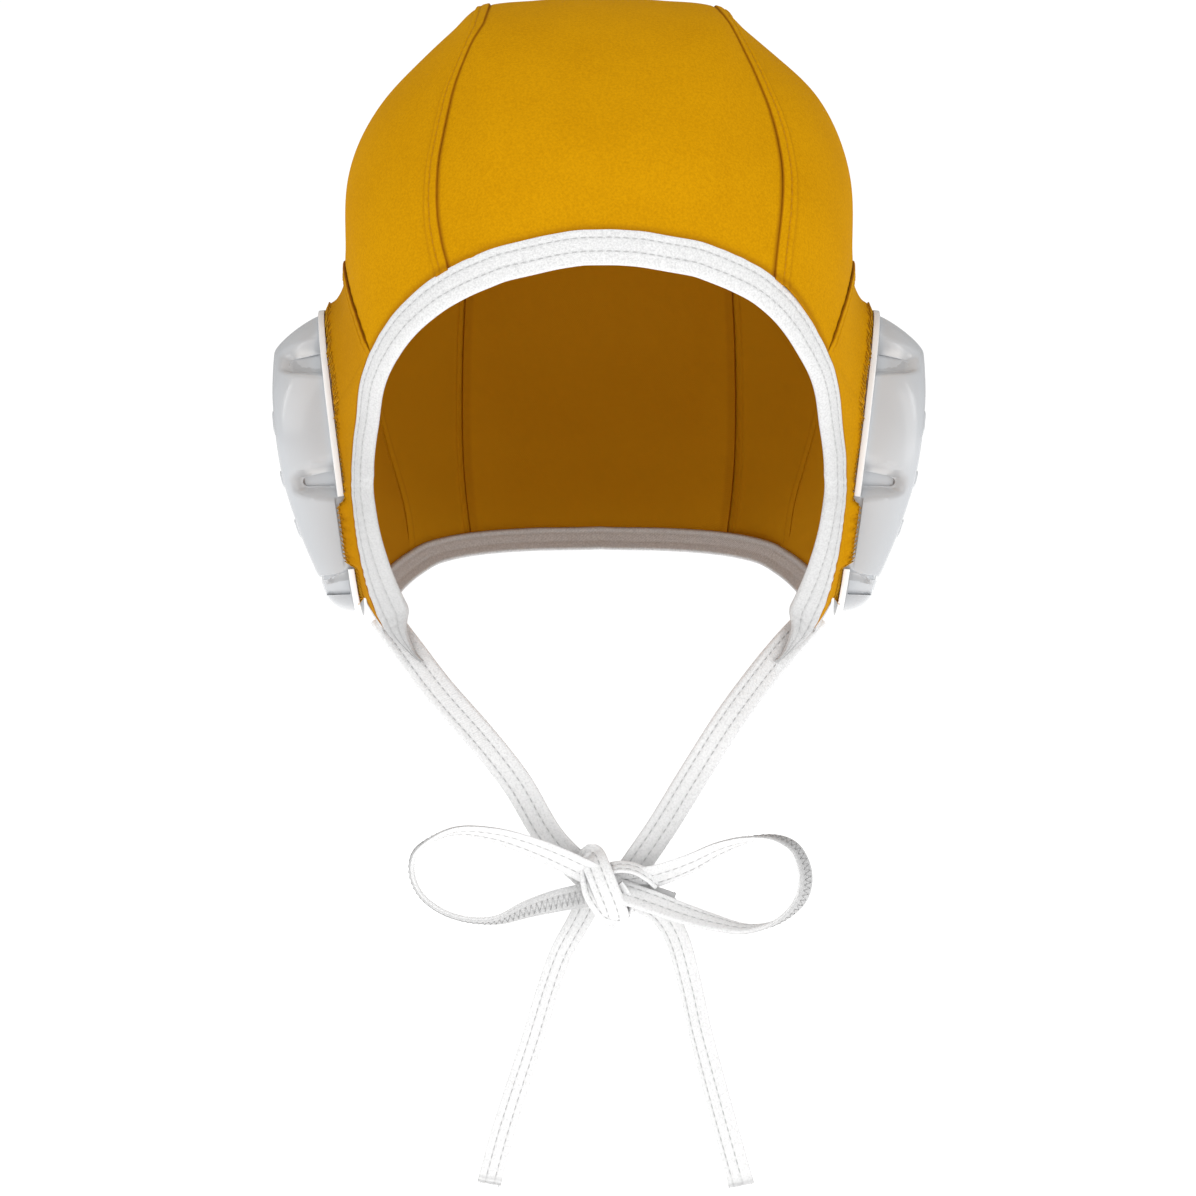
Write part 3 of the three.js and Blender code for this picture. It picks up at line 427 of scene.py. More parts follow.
def finishMaterial(nodes, inputs):
    shader = nodes.wire("ShaderNodeBsdfPrincipled", None, inputs)
    nodes.node("ShaderNodeOutputMaterial", None, {"Surface": shader})


def mark(nodes, label):
    return nodes.wire("ShaderNodeAttribute", {"attribute_name": label}, output="Fac")


def blendColour(nodes, share, first, second):
    settings = {"data_type": "RGBA", "blend_type": "MIX", "clamp_factor": True}
    return nodes.wire("ShaderNodeMix", settings, {"Factor": share, 6: first, 7: second}, output=2)


def speckle(nodes, place, scale, detail=3.0):
    return nodes.wire("ShaderNodeTexNoise", None, {"Vector": place, "Scale": scale, "Detail": detail})


def bumpNormal(nodes, strength, distance, height):
    settings = {"Strength": strength, "Distance": distance * mm, "Height": height}
    return nodes.wire("ShaderNodeBump", None, settings)


# places on the object, and along the two threads of the piece's own map
def weavePlaces(nodes):
    uv = nodes.wire("ShaderNodeUVMap", {"uv_map": "cloth"})
    place = nodes.wire("ShaderNodeTexCoord", output="Object")
    split = nodes.node("ShaderNodeSeparateXYZ", None, {0: uv})
    warp, weft = (Wire(nodes, split.outputs[axis]) for axis in (0, 1))
    return place, warp, weft


def clothMaterial():
    look = {
        "plain": (0.66, 0.316, 0.002, 1), "deep": (0.548, 0.245, 0.001, 1),
        # the seam colour is the dark of painted shade in creases and seams, beside the bindings and beside
        # the guards
        "seam": (0.27, 0.088, 0.004, 1), "inside": (0.50, 0.225, 0.006, 1),
        "thread": 0.62 * mm, "roughness": 0.78, "gloss": 0.02,
        "grainScale": 1500, "grainShare": 2.6, "cloudScale": 45, "cloudShare": 0.7, "deepShare": 0.4,
        "knitHeight": 0.5, "grainHeight": 0.8, "bump": 0.35, "bumpDeep": 0.12,
    }
    material, nodes = newMaterial("capCloth")
    place, warp, weft = weavePlaces(nodes)
    pitch = 2 * math.pi / look["thread"]
    knit = (warp * pitch + (weft * (pitch * 0.5)).sine() * 0.9).sine() * (weft * pitch).sine()
    grain = speckle(nodes, place, look["grainScale"], 4)
    cloud = speckle(nodes, place, look["cloudScale"], 2)
    mottle = (cloud - 0.5) * look["cloudShare"] + (grain - 0.5) * look["grainShare"] + look["deepShare"]
    colour = blendColour(nodes, mottle, look["plain"], look["deep"])
    colour = blendColour(nodes, mark(nodes, "inside"), colour, look["inside"])
    # painted shade: the shade mark darkens the cloth towards the seam colour
    colour = blendColour(nodes, mark(nodes, "shade"), colour, look["seam"])
    height = knit * look["knitHeight"] + grain * look["grainHeight"]
    finishMaterial(nodes, {
        "Base Color": colour, "Roughness": look["roughness"], "Specular IOR Level": look["gloss"],
        "Normal": bumpNormal(nodes, look["bump"], look["bumpDeep"], height),
    })
    return material


def tapeMaterial():
    look = {
        # the colour for the loose tapes is a brighter copy of the tape colour: painted light
        "plain": (0.84, 0.84, 0.84, 1), "grey": (0.59, 0.59, 0.59, 1), "loose": (0.92, 0.92, 0.92, 1),
        # groove is the grey of painted shade on the tape
        "groove": (0.46, 0.46, 0.46, 1), "thread": 0.55 * mm, "roughness": 0.82, "gloss": 0.05,
        "grainScale": 1700, "grainFrom": 0.40, "grainShare": 2.2, "looseShare": 1.75, "looseGrain": 2.0,
        "insideShare": 0.25, "insideGrain": 0.8, "twillHeight": 0.5, "grainHeight": 1.3,
        "bump": 0.55, "bumpDeep": 0.16,
    }
    material, nodes = newMaterial("whiteTape")
    place, warp, weft = weavePlaces(nodes)
    pitch = 2 * math.pi / look["thread"]
    twill = (warp * pitch + weft * pitch).sine() * 0.5 + (warp * pitch - weft * (pitch * 0.5)).sine() * 0.5
    grain = speckle(nodes, place, look["grainScale"], 4)
    greyer = (grain - look["grainFrom"]) * look["grainShare"]
    colour = blendColour(nodes, greyer, look["plain"], look["grey"])
    # painted light: the loose tapes and the knot are drawn brighter and less grey than the bindings
    loose = mark(nodes, "loose") * (look["looseShare"] - grain * look["looseGrain"])
    colour = blendColour(nodes, loose, colour, look["loose"])
    # painted shade: the tape's inner faces are drawn towards the groove grey, with the grain
    inside = mark(nodes, "inside") * (grain * look["insideGrain"] + look["insideShare"])
    colour = blendColour(nodes, inside, colour, look["groove"])
    # painted shade from the shade mark, in the sewn channels and wherever a tape piece is given shade
    colour = blendColour(nodes, mark(nodes, "shade"), colour, look["groove"])
    height = twill * look["twillHeight"] + grain * look["grainHeight"]
    finishMaterial(nodes, {
        "Base Color": colour, "Roughness": look["roughness"], "Specular IOR Level": look["gloss"],
        "Normal": bumpNormal(nodes, look["bump"], look["bumpDeep"], height),
    })
    return material


def guardMaterial():
    look = {
        # edge is the white of painted highlights, deep the grey of painted shade
        "wall": (0.54, 0.555, 0.575, 1), "edge": (0.92, 0.92, 0.92, 1), "deep": (0.34, 0.34, 0.345, 1),
        "roughness": 0.14, "uneven": 0.08, "coat": 0.35, "coatRoughness": 0.06, "refraction": 1.49,
        "flowScale": 30, "flowShare": 0.35, "fineScale": 260, "fineHeight": 0.12,
        "bump": 0.12, "bumpDeep": 0.5,
    }
    material, nodes = newMaterial("guardPlastic")
    place = nodes.wire("ShaderNodeTexCoord", output="Object")
    flow = speckle(nodes, place, look["flowScale"], 2)
    fine = speckle(nodes, place, look["fineScale"], 3)
    colour = blendColour(nodes, (flow - 0.5) * look["flowShare"], look["wall"], look["edge"])
    # painted highlight: the rim mark brightens the flange strip and the streaks above the flutes
    colour = blendColour(nodes, mark(nodes, "rim"), colour, look["edge"])
    # painted shade: the shade mark darkens the flutes, the lower part of the cup and its inner faces
    # towards the deep grey
    colour = blendColour(nodes, mark(nodes, "shade"), colour, look["deep"])
    height = flow + fine * look["fineHeight"]
    finishMaterial(nodes, {
        "Base Color": colour, "Roughness": fine * look["uneven"] + look["roughness"],
        "Normal": bumpNormal(nodes, look["bump"], look["bumpDeep"], height),
        "Coat Weight": look["coat"], "Coat Roughness": look["coatRoughness"], "IOR": look["refraction"],
    })
    return material


def threadMaterial(name, colour, roughness):
    look = {"fuzzScale": 2500, "darker": 0.72, "gloss": 0.3}
    material, nodes = newMaterial(name)
    place = nodes.wire("ShaderNodeTexCoord", output="Object")
    fuzz = speckle(nodes, place, look["fuzzScale"], 2)
    darker = tuple(channel * look["darker"] for channel in colour[:3]) + (1,)
    finishMaterial(nodes, {
        "Base Color": blendColour(nodes, fuzz, colour, darker), "Roughness": roughness,
        "Specular IOR Level": look["gloss"],
    })
    return material


capCloth = clothMaterial()
whiteTape = tapeMaterial()
guardPlastic = guardMaterial()
clothThread = threadMaterial("clothThread", (0.60, 0.27, 0.004, 1), 0.8)
overlockThread = threadMaterial("overlockThread", (0.74, 0.37, 0.004, 1), 0.8)
# the tape's stitches are real thread, drawn grey as painted shade of their needle holes
tapeThread = threadMaterial("tapeThread", (0.58, 0.58, 0.58, 1), 0.7)
whiteThread = threadMaterial("whiteThread", (0.86, 0.86, 0.86, 1), 0.8)
print("materials ready")


# geometry nodes for the sewing

def geometryGroup(name, sizes):
    tree = bpy.data.node_groups.new(name, "GeometryNodeTree")
    tree.interface.new_socket("Geometry", in_out="INPUT", socket_type="NodeSocketGeometry")
    for label in sizes:
        tree.interface.new_socket(label, in_out="INPUT", socket_type="NodeSocketFloat")
    tree.interface.new_socket("Thread", in_out="INPUT", socket_type="NodeSocketMaterial")
    tree.interface.new_socket("Geometry", in_out="OUTPUT", socket_type="NodeSocketGeometry")
    nodes = Nodes(tree)
    entry = nodes.node("NodeGroupInput")
    values = {socket.name: Wire(nodes, socket) for socket in entry.outputs if socket.name}
    return nodes, values


def closeGroup(nodes, values, geometry):
    solid = nodes.wire("GeometryNodeRealizeInstances", None, {"Geometry": geometry})
    dressed = nodes.wire("GeometryNodeSetMaterial", None, {"Geometry": solid, "Material": values["Thread"]})
    nodes.node("NodeGroupOutput", None, {0: dressed})
    return nodes.tree


def evenSteps(nodes, values, spacing):
    line = nodes.wire("GeometryNodeMeshToCurve", None, {"Mesh": values["Geometry"]})
    return nodes.wire("GeometryNodeResampleCurve", {"mode": "LENGTH"}, {"Curve": line, "Length": spacing})


def sidewaysAt(nodes):
    return nodes.wire("GeometryNodeInputNamedAttribute", {"data_type": "FLOAT_VECTOR"}, {"Name": "side"})


def threadAlong(nodes, curve, radius):
    profile = nodes.wire("GeometryNodeCurvePrimitiveCircle", None, {"Resolution": 5, "Radius": radius})
    return nodes.wire("GeometryNodeCurveToMesh", None, {
        "Curve": curve, "Profile Curve": profile, "Fill Caps": True,
    })


def stitchGroup():
    nodes, values = geometryGroup("runningStitch", ("Pitch", "Length", "Radius"))
    steps = evenSteps(nodes, values, values["Pitch"])
    along = nodes.wire("GeometryNodeInputTangent")
    turn = nodes.wire("FunctionNodeAlignRotationToVector", {"axis": "X"}, {"Vector": along})
    stitch = nodes.wire("GeometryNodeMeshUVSphere", None, {"Segments": 8, "Rings": 6, "Radius": 1.0})
    size = nodes.wire("ShaderNodeCombineXYZ", None, {
        0: values["Length"] * 0.5, 1: values["Radius"], 2: values["Radius"],
    })
    placed = nodes.wire("GeometryNodeInstanceOnPoints", None, {
        "Points": steps, "Instance": stitch, "Rotation": turn, "Scale": size,
    })
    return closeGroup(nodes, values, placed)


def zigzagGroup():
    nodes, values = geometryGroup("zigzagStitch", ("Pitch", "Width", "Radius"))
    steps = evenSteps(nodes, values, values["Pitch"] * 0.5)
    number = nodes.wire("GeometryNodeInputIndex")
    parity = nodes.wire("ShaderNodeMath", {"operation": "MODULO"}, {0: number, 1: 2.0})
    offset = nodes.wire("ShaderNodeVectorMath", {"operation": "SCALE"}, {
        0: sidewaysAt(nodes), "Scale": (parity - 0.5) * values["Width"],
    })
    moved = nodes.wire("GeometryNodeSetPosition", None, {"Geometry": steps, "Offset": offset})
    return closeGroup(nodes, values, threadAlong(nodes, moved, values["Radius"]))


def fringeGroup():
    spreads = {"Min": (-0.42, -0.3, -0.2), "Max": (0.42, 0.3, 0.2), "Seed": 7}
    lengths = {2: 0.55, 3: 1.25, "Seed": 3}
    nodes, values = geometryGroup("fringe", ("Spacing", "Length", "Radius"))
    roots = evenSteps(nodes, values, values["Spacing"])
    spread = nodes.wire("FunctionNodeRandomValue", {"data_type": "FLOAT_VECTOR"}, spreads)
    way = nodes.wire("ShaderNodeVectorMath", {"operation": "ADD"}, {0: sidewaysAt(nodes), 1: spread})
    turn = nodes.wire("FunctionNodeAlignRotationToVector", {"axis": "Z"}, {"Vector": way})
    long = values["Length"]
    start = nodes.wire("ShaderNodeCombineXYZ")
    bend = nodes.wire("ShaderNodeCombineXYZ", None, {0: long * 0.16, 2: long * 0.55})
    end = nodes.wire("ShaderNodeCombineXYZ", None, {1: long * 0.1, 2: long})
    fibre = nodes.wire("GeometryNodeCurveQuadraticBezier", None, {
        "Resolution": 6, "Start": start, "Middle": bend, "End": end,
    })
    thread = threadAlong(nodes, fibre, values["Radius"])
    longer = nodes.wire("FunctionNodeRandomValue", {"data_type": "FLOAT"}, lengths, output=1)
    placed = nodes.wire("GeometryNodeInstanceOnPoints", None, {
        "Points": roots, "Instance": thread, "Rotation": turn, "Scale": longer,
    })
    return closeGroup(nodes, values, placed)


runningStitch = stitchGroup()
zigzagStitch = zigzagGroup()
fringeThreads = fringeGroup()


# lines is a list of point rows, each with a row of sideways directions where the group needs them
def sew(name, group, sizes, thread, slot, lines, sides=None):
    points = np.concatenate(lines)
    edges = []
    start = 0
    for line in lines:
        edges += [(start + step, start + step + 1) for step in range(len(line) - 1)]
        start += len(line)
    mesh = bpy.data.meshes.new(name)
    mesh.from_pydata((points * mm).tolist(), edges, [])
    if sides is not None:
        attribute = mesh.attributes.new("side", "FLOAT_VECTOR", "POINT")
        attribute.data.foreach_set("vector", np.concatenate(sides).astype(np.float32).ravel())
    guide = addObject(name + "Guide", mesh)
    modifier = guide.modifiers.new("sewing", "NODES")
    modifier.node_group = group
    sockets = {item.name: item.identifier for item in group.interface.items_tree if item.in_out == "INPUT"}
    for label, value in sizes.items():
        modifier[sockets[label]] = value * mm
    modifier[sockets["Thread"]] = thread
    sewn = bpy.data.meshes.new_from_object(guide.evaluated_get(bpy.context.evaluated_depsgraph_get()))
    sewn.polygons.foreach_set("use_smooth", np.ones(len(sewn.polygons), dtype=bool))
    piece = addObject(name, sewn)
    bpy.data.objects.remove(guide)
    return finishPiece(piece, slot)


# cloth panels

cloth = {
    "wall": 0.8, "lapRise": 0.6, "foldRadius": 0.4, "stitchAway": 2.75, "lapWidth": 3.9,
    "lapStep": 1.0, "tuck": 0.7, "least": 0.02, "foldWall": 0.06,
    "grooveDeep": 0.3, "grooveWidth": 0.42, "dipDeep": 0.15, "dipWidth": 0.8,
    "stepAway": 0.8, "stitchRise": 0.03,
    "slowRise": 0.28, "fastRise": 0.09, "pucker": 0.07, "puckerReach": 2.6,
}
# width in mm and depth of the shade along each kind of line
seamLook = {
    "fold": (0.22, 0.75), "stitch": (0.35, 0.22), "step": (0.5, 0.2), "gap": (0.2, 0.8),
    "rim": (1.4, 0.55), "napeEdge": (1.4, 0.4), "earEdge": (1.4, 0.5),
}
# distances from a fold at which the cloth beside it has its points
lapSteps = np.array([
    0, 0.04, 0.12, 0.25, 0.4, 0.7, 1.1, 1.6, 2.0, 2.3, 2.55, 2.75, 2.95, 3.2, 3.5, 3.9, 4.2,
])


# soft unevenness of stretched cloth, as a height over the form
def softRise(points):
    x, y, z = points[..., 0], points[..., 1], points[..., 2]
    slow = np.sin(x / 17 + 1.3) * np.sin(y / 21 + 0.4) * np.sin(z / 25 + 2.1)
    fast = np.sin(x / 7.3 + z / 9.1) * np.sin(y / 8.7 - z / 11.3 + 0.8)
    return cloth["slowRise"] * slow + cloth["fastRise"] * fast


# height of a lapped edge over the form, by the distance from its fold
def lapProfile(away):
    fold = cloth["foldRadius"]
    roll = np.sqrt(np.clip(1 - (1 - np.clip(away / fold, 0, 1)) ** 2, 0, 1))
    flat = 1 - ease(cloth["lapWidth"], cloth["lapWidth"] + cloth["lapStep"], away)
    groove = np.exp(-(((away - cloth["stitchAway"]) / cloth["grooveWidth"]) ** 2))
    return cloth["lapRise"] * roll * flat - cloth["grooveDeep"] * groove


# small puckers that the seam's thread pulls into the cloth
def puckers(along, away):
    wave = np.sin(along / 0.83 + 1.7 * np.sin(along / 6.1)) + 0.6 * np.sin(along / 1.9 + 0.7)
    return cloth["pucker"] * wave * np.exp(-away / cloth["puckerReach"])


# shallow dip of the cloth that runs in under a fold
def seamDip(away):
    return cloth["dipDeep"] * np.exp(-away / cloth["dipWidth"])


def seamShade(away, width, depth):
    return depth * np.exp(-((away / width) ** 2))


# shade of a lapped edge: along its fold and along its stitches
def lapShade(away, share=1.0):
    fold = seamShade(away, *seamLook["fold"]) * share
    return fold + seamShade(away - cloth["stitchAway"], *seamLook["stitch"]) * share


# strip of cloth over the crown, whose columns run from the face binding to the nape
def crownGrid(tiltAt, sides, rows):
    columns = len(sides)
    columnIndex = np.arange(columns)
    gapTurn = cloth["tuck"] / opening["front"] / deg

    def beyond(line):
        def measure(along):
            tilt, turn = bearing(line(along))
            return np.abs(tilt) - np.abs(tiltAt(columnIndex, turn))
        return measure

    def rimAt(along):
        return rimLine(along, sides)

    rimAlong = crossing(np.zeros(columns), 0.5, beyond(rimAt))
    napeAlong = crossing(np.zeros(columns), 1, lambda along: -beyond(napeLine)(along))
    start = bearing(rimAt(rimAlong))[1] - gapTurn
    stop = bearing(napeLine(napeAlong))[1] + gapTurn
    turn = mix(start[None, :], stop[None, :], np.linspace(0, 1, rows)[:, None])
    tilt = tiltAt(np.broadcast_to(columnIndex, turn.shape), turn)
    return onForm(tilt, turn), tilt, turn


def declareCloth(flat, area):
    tuple(size * mm for size in flat)
    area * mm * mm


# painted shade and inside of a cloth wall; its inner face keeps a part of the shade, and darker adds
# painted shade all over
def clothMarks(shade, darker=0.0):
    both = np.concatenate([shade.ravel(), 0.3 * shade.ravel()])
    return {"shade": np.clip(both + darker, 0, 1), "inside": np.repeat([0.0, 1.0], shade.size)}


# a panel from its grid on the form, with the heights of its outer and inner face over it
def panelPiece(name, node, base, rise, drop, shade, side=1):
    normals = gridNormals(base)
    outer = base + normals * rise[..., None]
    inner = base + normals * drop[..., None]
    across, along = arcs(base, 1), arcs(base, 0)
    uv = np.stack([across, along], -1).reshape(-1, 2)
    points, faces = wallShell(outer, inner)
    if side < 0:
        points = mirrored(points)
    marks = clothMarks(np.clip(shade, 0, 1))
    piece = makePiece(name, points, facingOut(points, faces), capCloth, np.concatenate([uv, uv]), marks)
    finishPiece(piece, "cap_cloth", node)
    width, length = across[:, -1].max(), along[-1].max()
    declareCloth((width, length), min(gridArea(base), 0.98 * width * length))
    return outer, normals


def rimShade(base):
    fromRim = arcs(base, 0)
    fromNape = fromRim[-1:] - fromRim
    rim = seamShade(fromRim - cloth["tuck"], *seamLook["rim"])
    return rim + seamShade(fromNape - cloth["tuck"], *seamLook["napeEdge"])


def seamDistance(tilt, turn, seam):
    return (np.abs(tilt) - seam) * deg * formReach(seam, turn)


sewnCloth = []


def makeCentrePanel():
    size = {"inner": 71, "rows": 250, "under": (2.2, 1.4, 0.7, 0.25)}
    under = np.array(size["under"])  # how far the cloth runs on under the side panels
    edge = np.ones(len(under))
    shares = np.concatenate([-edge, np.linspace(-1, 1, size["inner"]), edge])
    extra = np.concatenate([-under, np.zeros(size["inner"]), under[::-1]])

    def seamAt(across, turn):
        return np.where(across > 0, topSeamTilt(turn, 1), topSeamTilt(turn, -1))

    def tiltAt(column, turn):
        seam = seamAt(shares[column], turn)
        return shares[column] * seam + extra[column] / formReach(seam, turn) / deg

    base, tilt, turn = crownGrid(tiltAt, shares, size["rows"])
    seam = seamAt(tilt, turn)
    away = -seamDistance(tilt, turn, seam)
    near = np.clip(away, 0, None)
    rise = softRise(base) + np.where(away > 0, puckers(arcs(base, 0), near), 0) - seamDip(near)
    shade = seamShade(near, *seamLook["gap"]) + rimShade(base)
    panelPiece("centrePanel", "centre_panel", base, rise, rise - cloth["wall"], shade)


def makeSidePanel(name, side):
    size = {
        "rows": 250, "broad": 46, "underEar": (0.7, 1.6, 2.4),
        "fuller": 1.5, "fullTilt": 31, "fullWidth": 8, "fullFrom": 6,
    }
    lap = np.append(lapSteps, [4.5, 4.9, 5.4, 6.1])
    shares = np.linspace(0, 1, size["broad"])[1:]
    underEar = np.array(size["underEar"])
    count = len(lap) + len(shares) + len(underEar)
    padded = np.concatenate([lap, np.full(count - len(lap), lap[-1])])
    share = np.concatenate([np.zeros(len(lap)), shares, np.ones(len(underEar))])
    beyond = np.concatenate([np.zeros(count - len(underEar)), underEar])

    def tiltAt(column, turn):
        seam = topSeamTilt(turn, side)
        reach = formReach(seam, turn)
        start = seam + lap[-1] / reach / deg
        edge = seam + padded[column] / reach / deg
        broad = mix(start, earSeamTilt(turn), share[column]) + beyond[column] / head["halfWidth"] / deg
        return np.where(column < len(lap), edge, broad)

    base, tilt, turn = crownGrid(tiltAt, np.full(count, side), size["rows"])
    away = seamDistance(tilt, turn, topSeamTilt(turn, side))
    fromEar = np.linalg.norm(base - onForm(earSeamTilt(turn), turn), axis=-1)
    beyondEar = tilt > earSeamTilt(turn)
    along = arcs(base, 0)
    soft = softRise(base) * ease(0, 4, away)
    rise = lapProfile(away) + soft + puckers(along, np.abs(away - cloth["stitchAway"]))
    rise = rise - seamDip(fromEar) + np.where(beyondEar, 0, puckers(along, fromEar))
    if side > 0:  # the photo's right side is a little fuller
        fullness = size["fuller"] * np.exp(-(((tilt - size["fullTilt"]) / size["fullWidth"]) ** 2))
        rise = rise + fullness * ease(0, size["fullFrom"], away)
    under = np.where(away < cloth["foldRadius"], cloth["foldWall"], rise - cloth["wall"])
    drop = np.minimum(under, rise - cloth["least"])
    shade = lapShade(away) + seamShade(away - cloth["lapWidth"] - cloth["stepAway"], *seamLook["step"])
    shade = shade + seamShade(fromEar, *seamLook["gap"]) + rimShade(base)
    outer, normals = panelPiece("sidePanel" + name, "side_panel_" + name.lower(), base, rise, drop, shade,
                                side)
    column = int(np.argmin(np.abs(lap - cloth["stitchAway"])))
    line = outer[3:-3, column] + normals[3:-3, column] * cloth["stitchRise"]
    sewnCloth.append(line if side > 0 else mirrored(line))


# ear guards

guard = {
    "height": 95, "width": 64, "depth": 18.4, "wall": 1.6, "back": 6, "drop": 6, "inset": 0.5,
    "lean": 7.1, "flange": 2, "lip": 1.6, "flangeWidth": 5, "seat": 0.3, "roundness": 2.35,
    "fullness": 0.1, "dome": 0.3, "fluteWidth": 13, "fluteDepth": 2.9, "slotLength": 9.5,
    "slotHeight": 4.4, "slotRise": 0.6, "slotDeep": 1.25, "notchDepth": 3.1, "notchDeep": 2.7,
    "notchHeight": 22, "notchDrop": 22, "padRise": 1.3,
    "grooveUp": -34.6, "grooveDeep": 1.0, "grooveTall": 1.3,
    "fluteFade": (0.55, 0.95), "fluteTaper": 0.45, "fluteEdge": (0.35, 1.1),
    "slotNeck": 0.85, "slotTip": 0.7, "padSink": 0.4, "padFoot": 0.8, "padEnd": 0.35,
    "fluteShade": 0.45, "lowShade": 0.3, "insideShade": 0.2,
    # strength, height above each flute and width of a painted highlight streak
    "paintedHighlight": 0.9, "highlightUp": 2.9, "highlightWidth": 0.9,
}
guardDepths = table(
    "up deep",
    (-1, 0.22), (-0.97, 0.4), (-0.88, 0.53), (-0.74, 0.6), (-0.67, 0.66), (-0.39, 0.84),
    (-0.03, 0.99), (0.42, 1), (0.74, 0.92), (1, 0.86),
)
guardShoulders = table(
    "turn inset power",
    (0, 0.145, 1.2), (45, 0.12, 1.8), (80, 0.078, 3), (120, 0.078, 3), (155, 0.078, 2.4),
    (180, 0.078, 2.2), (205, 0.078, 2.4), (240, 0.078, 3), (280, 0.078, 3), (315, 0.12, 1.8),
    (360, 0.145, 1.2),
)
flutes = table("up slotUp", (0.684, 0.651), (-0.116, -0.107), (-0.821, -0.808))
facePads = table("up tall long", (0.305, 0.095, 0.406), (-0.063, 0.068, 0.469), (-0.389, 0.074, 0.344))

lean = guard["lean"] * deg
guardUp = np.array([math.sin(lean), 0, math.cos(lean)])
guardOut = np.array([math.cos(lean), 0, -math.sin(lean)])
guardCentre = np.array([head["halfWidth"] - guard["inset"], guard["back"], earAxis[2] - guard["drop"]])


def inGuard(back, up, out):
    back, up, out = np.broadcast_arrays(*(np.asarray(value, float) for value in (back, up, out)))
    along = back[..., None] * np.array([0.0, 1.0, 0.0])
    return guardCentre + along + up[..., None] * guardUp + out[..., None] * guardOut


def guardOutline(turn, inset):
    power = 2 / guard["roundness"]
    up, front = np.cos(turn * deg), np.sin(turn * deg)
    halfWidth = (guard["width"] / 2 - inset) * (1 + guard["fullness"] * up)
    back = -np.sign(front) * halfWidth * np.abs(front) ** power
    return back, np.sign(up) * (guard["height"] / 2 - inset) * np.abs(up) ** power


def guardDeep(up):
    return guard["depth"] * read(guardDepths, "up", up / (guard["height"] / 2), "deep")


# 0 at the middle of the cup's wall and 1 towards its sides
def nearSide(back):
    return ease(0.3, 0.62, np.abs(back) / (guard["width"] / 2))


# depth of the flutes, which run in from both sides and fade towards the face
def guardHollow(back, up, rise):
    fade = 1 - ease(*guard["fluteFade"], rise)
    halfWidth = guard["fluteWidth"] / 2 * mix(1, guard["fluteTaper"], rise)
    hollow = np.zeros_like(rise)
    for place in flutes["up"]:
        beside = np.abs(up - place * guard["height"] / 2) / halfWidth
        hollow = np.maximum(hollow, 1 - ease(*guard["fluteEdge"], beside))
    return guard["fluteDepth"] * hollow * fade * nearSide(back)


# point of the cup's wall from its flange (0) to its face (1), with its painted shade and a painted
# highlight streak above each flute
def guardWallAt(turn, share, wall):
    turn, share = np.broadcast_arrays(turn, share)
    shoulder = guard["width"] * read(guardShoulders, "turn", turn, "inset")
    power = 2 / read(guardShoulders, "turn", turn, "power")
    quarter = share * 90 * deg
    inset = guard["lip"] + shoulder * (1 - np.maximum(np.cos(quarter), 0) ** power) + wall
    rise = np.sin(quarter) ** power
    back, up = guardOutline(turn, inset)
    hollow = guardHollow(back, up, rise)
    plainBack, plainUp = guardOutline(turn, inset + hollow)
    out = mix(guard["flange"], guardDeep(up) - wall, rise)
    fluteShade = hollow / guard["fluteDepth"] * guard["fluteShade"]
    shade = np.clip(fluteShade + guard["lowShade"] * ease(5, -38, up), 0, 1)
    paintedHighlight = np.zeros_like(rise)
    for place in flutes["up"]:
        above = up - place * guard["height"] / 2
        paintedHighlight = np.maximum(paintedHighlight, np.exp(-(((above - guard["highlightUp"]) / guard["highlightWidth"]) ** 2)))
    paintedHighlight = paintedHighlight * ease(0.06, 0.2, rise) * (1 - ease(0.42, 0.62, rise)) * nearSide(back)
    return inGuard(plainBack, plainUp, out), np.stack([shade, paintedHighlight * guard["paintedHighlight"]], -1)


def guardRing(turns, inset, out):
    return inGuard(*guardOutline(turns, inset), out)


# rows of the cup from its flange over the wall to the middle of its face
def guardRows(turns, wall, flangeRows, wallRows, faceRows):
    rows = [guardRing(turns, inset, out) for inset, out in flangeRows]
    shades = [np.zeros((len(turns), 2)) for _ in rows]
    for step in np.linspace(0, 1, wallRows + 1)[1:]:
        share = step * step * (3 - 2 * step)
        row, shade = guardWallAt(turns, np.full(len(turns), share), wall)
        rows.append(row)
        shades.append(shade)
    edge = rows[-1] - guardCentre
    for step in np.linspace(0, 1, faceRows + 1)[1:-1]:
        closer = edge * (1 - step)
        back, up = closer[:, 1], closer @ guardUp
        dome = guard["dome"] * min(1.0, 2 * step)
        rows.append(inGuard(back, up, guardDeep(up) + dome - wall))
        shades.append(np.zeros((len(turns), 2)))
    return np.array(rows), np.array(shades)


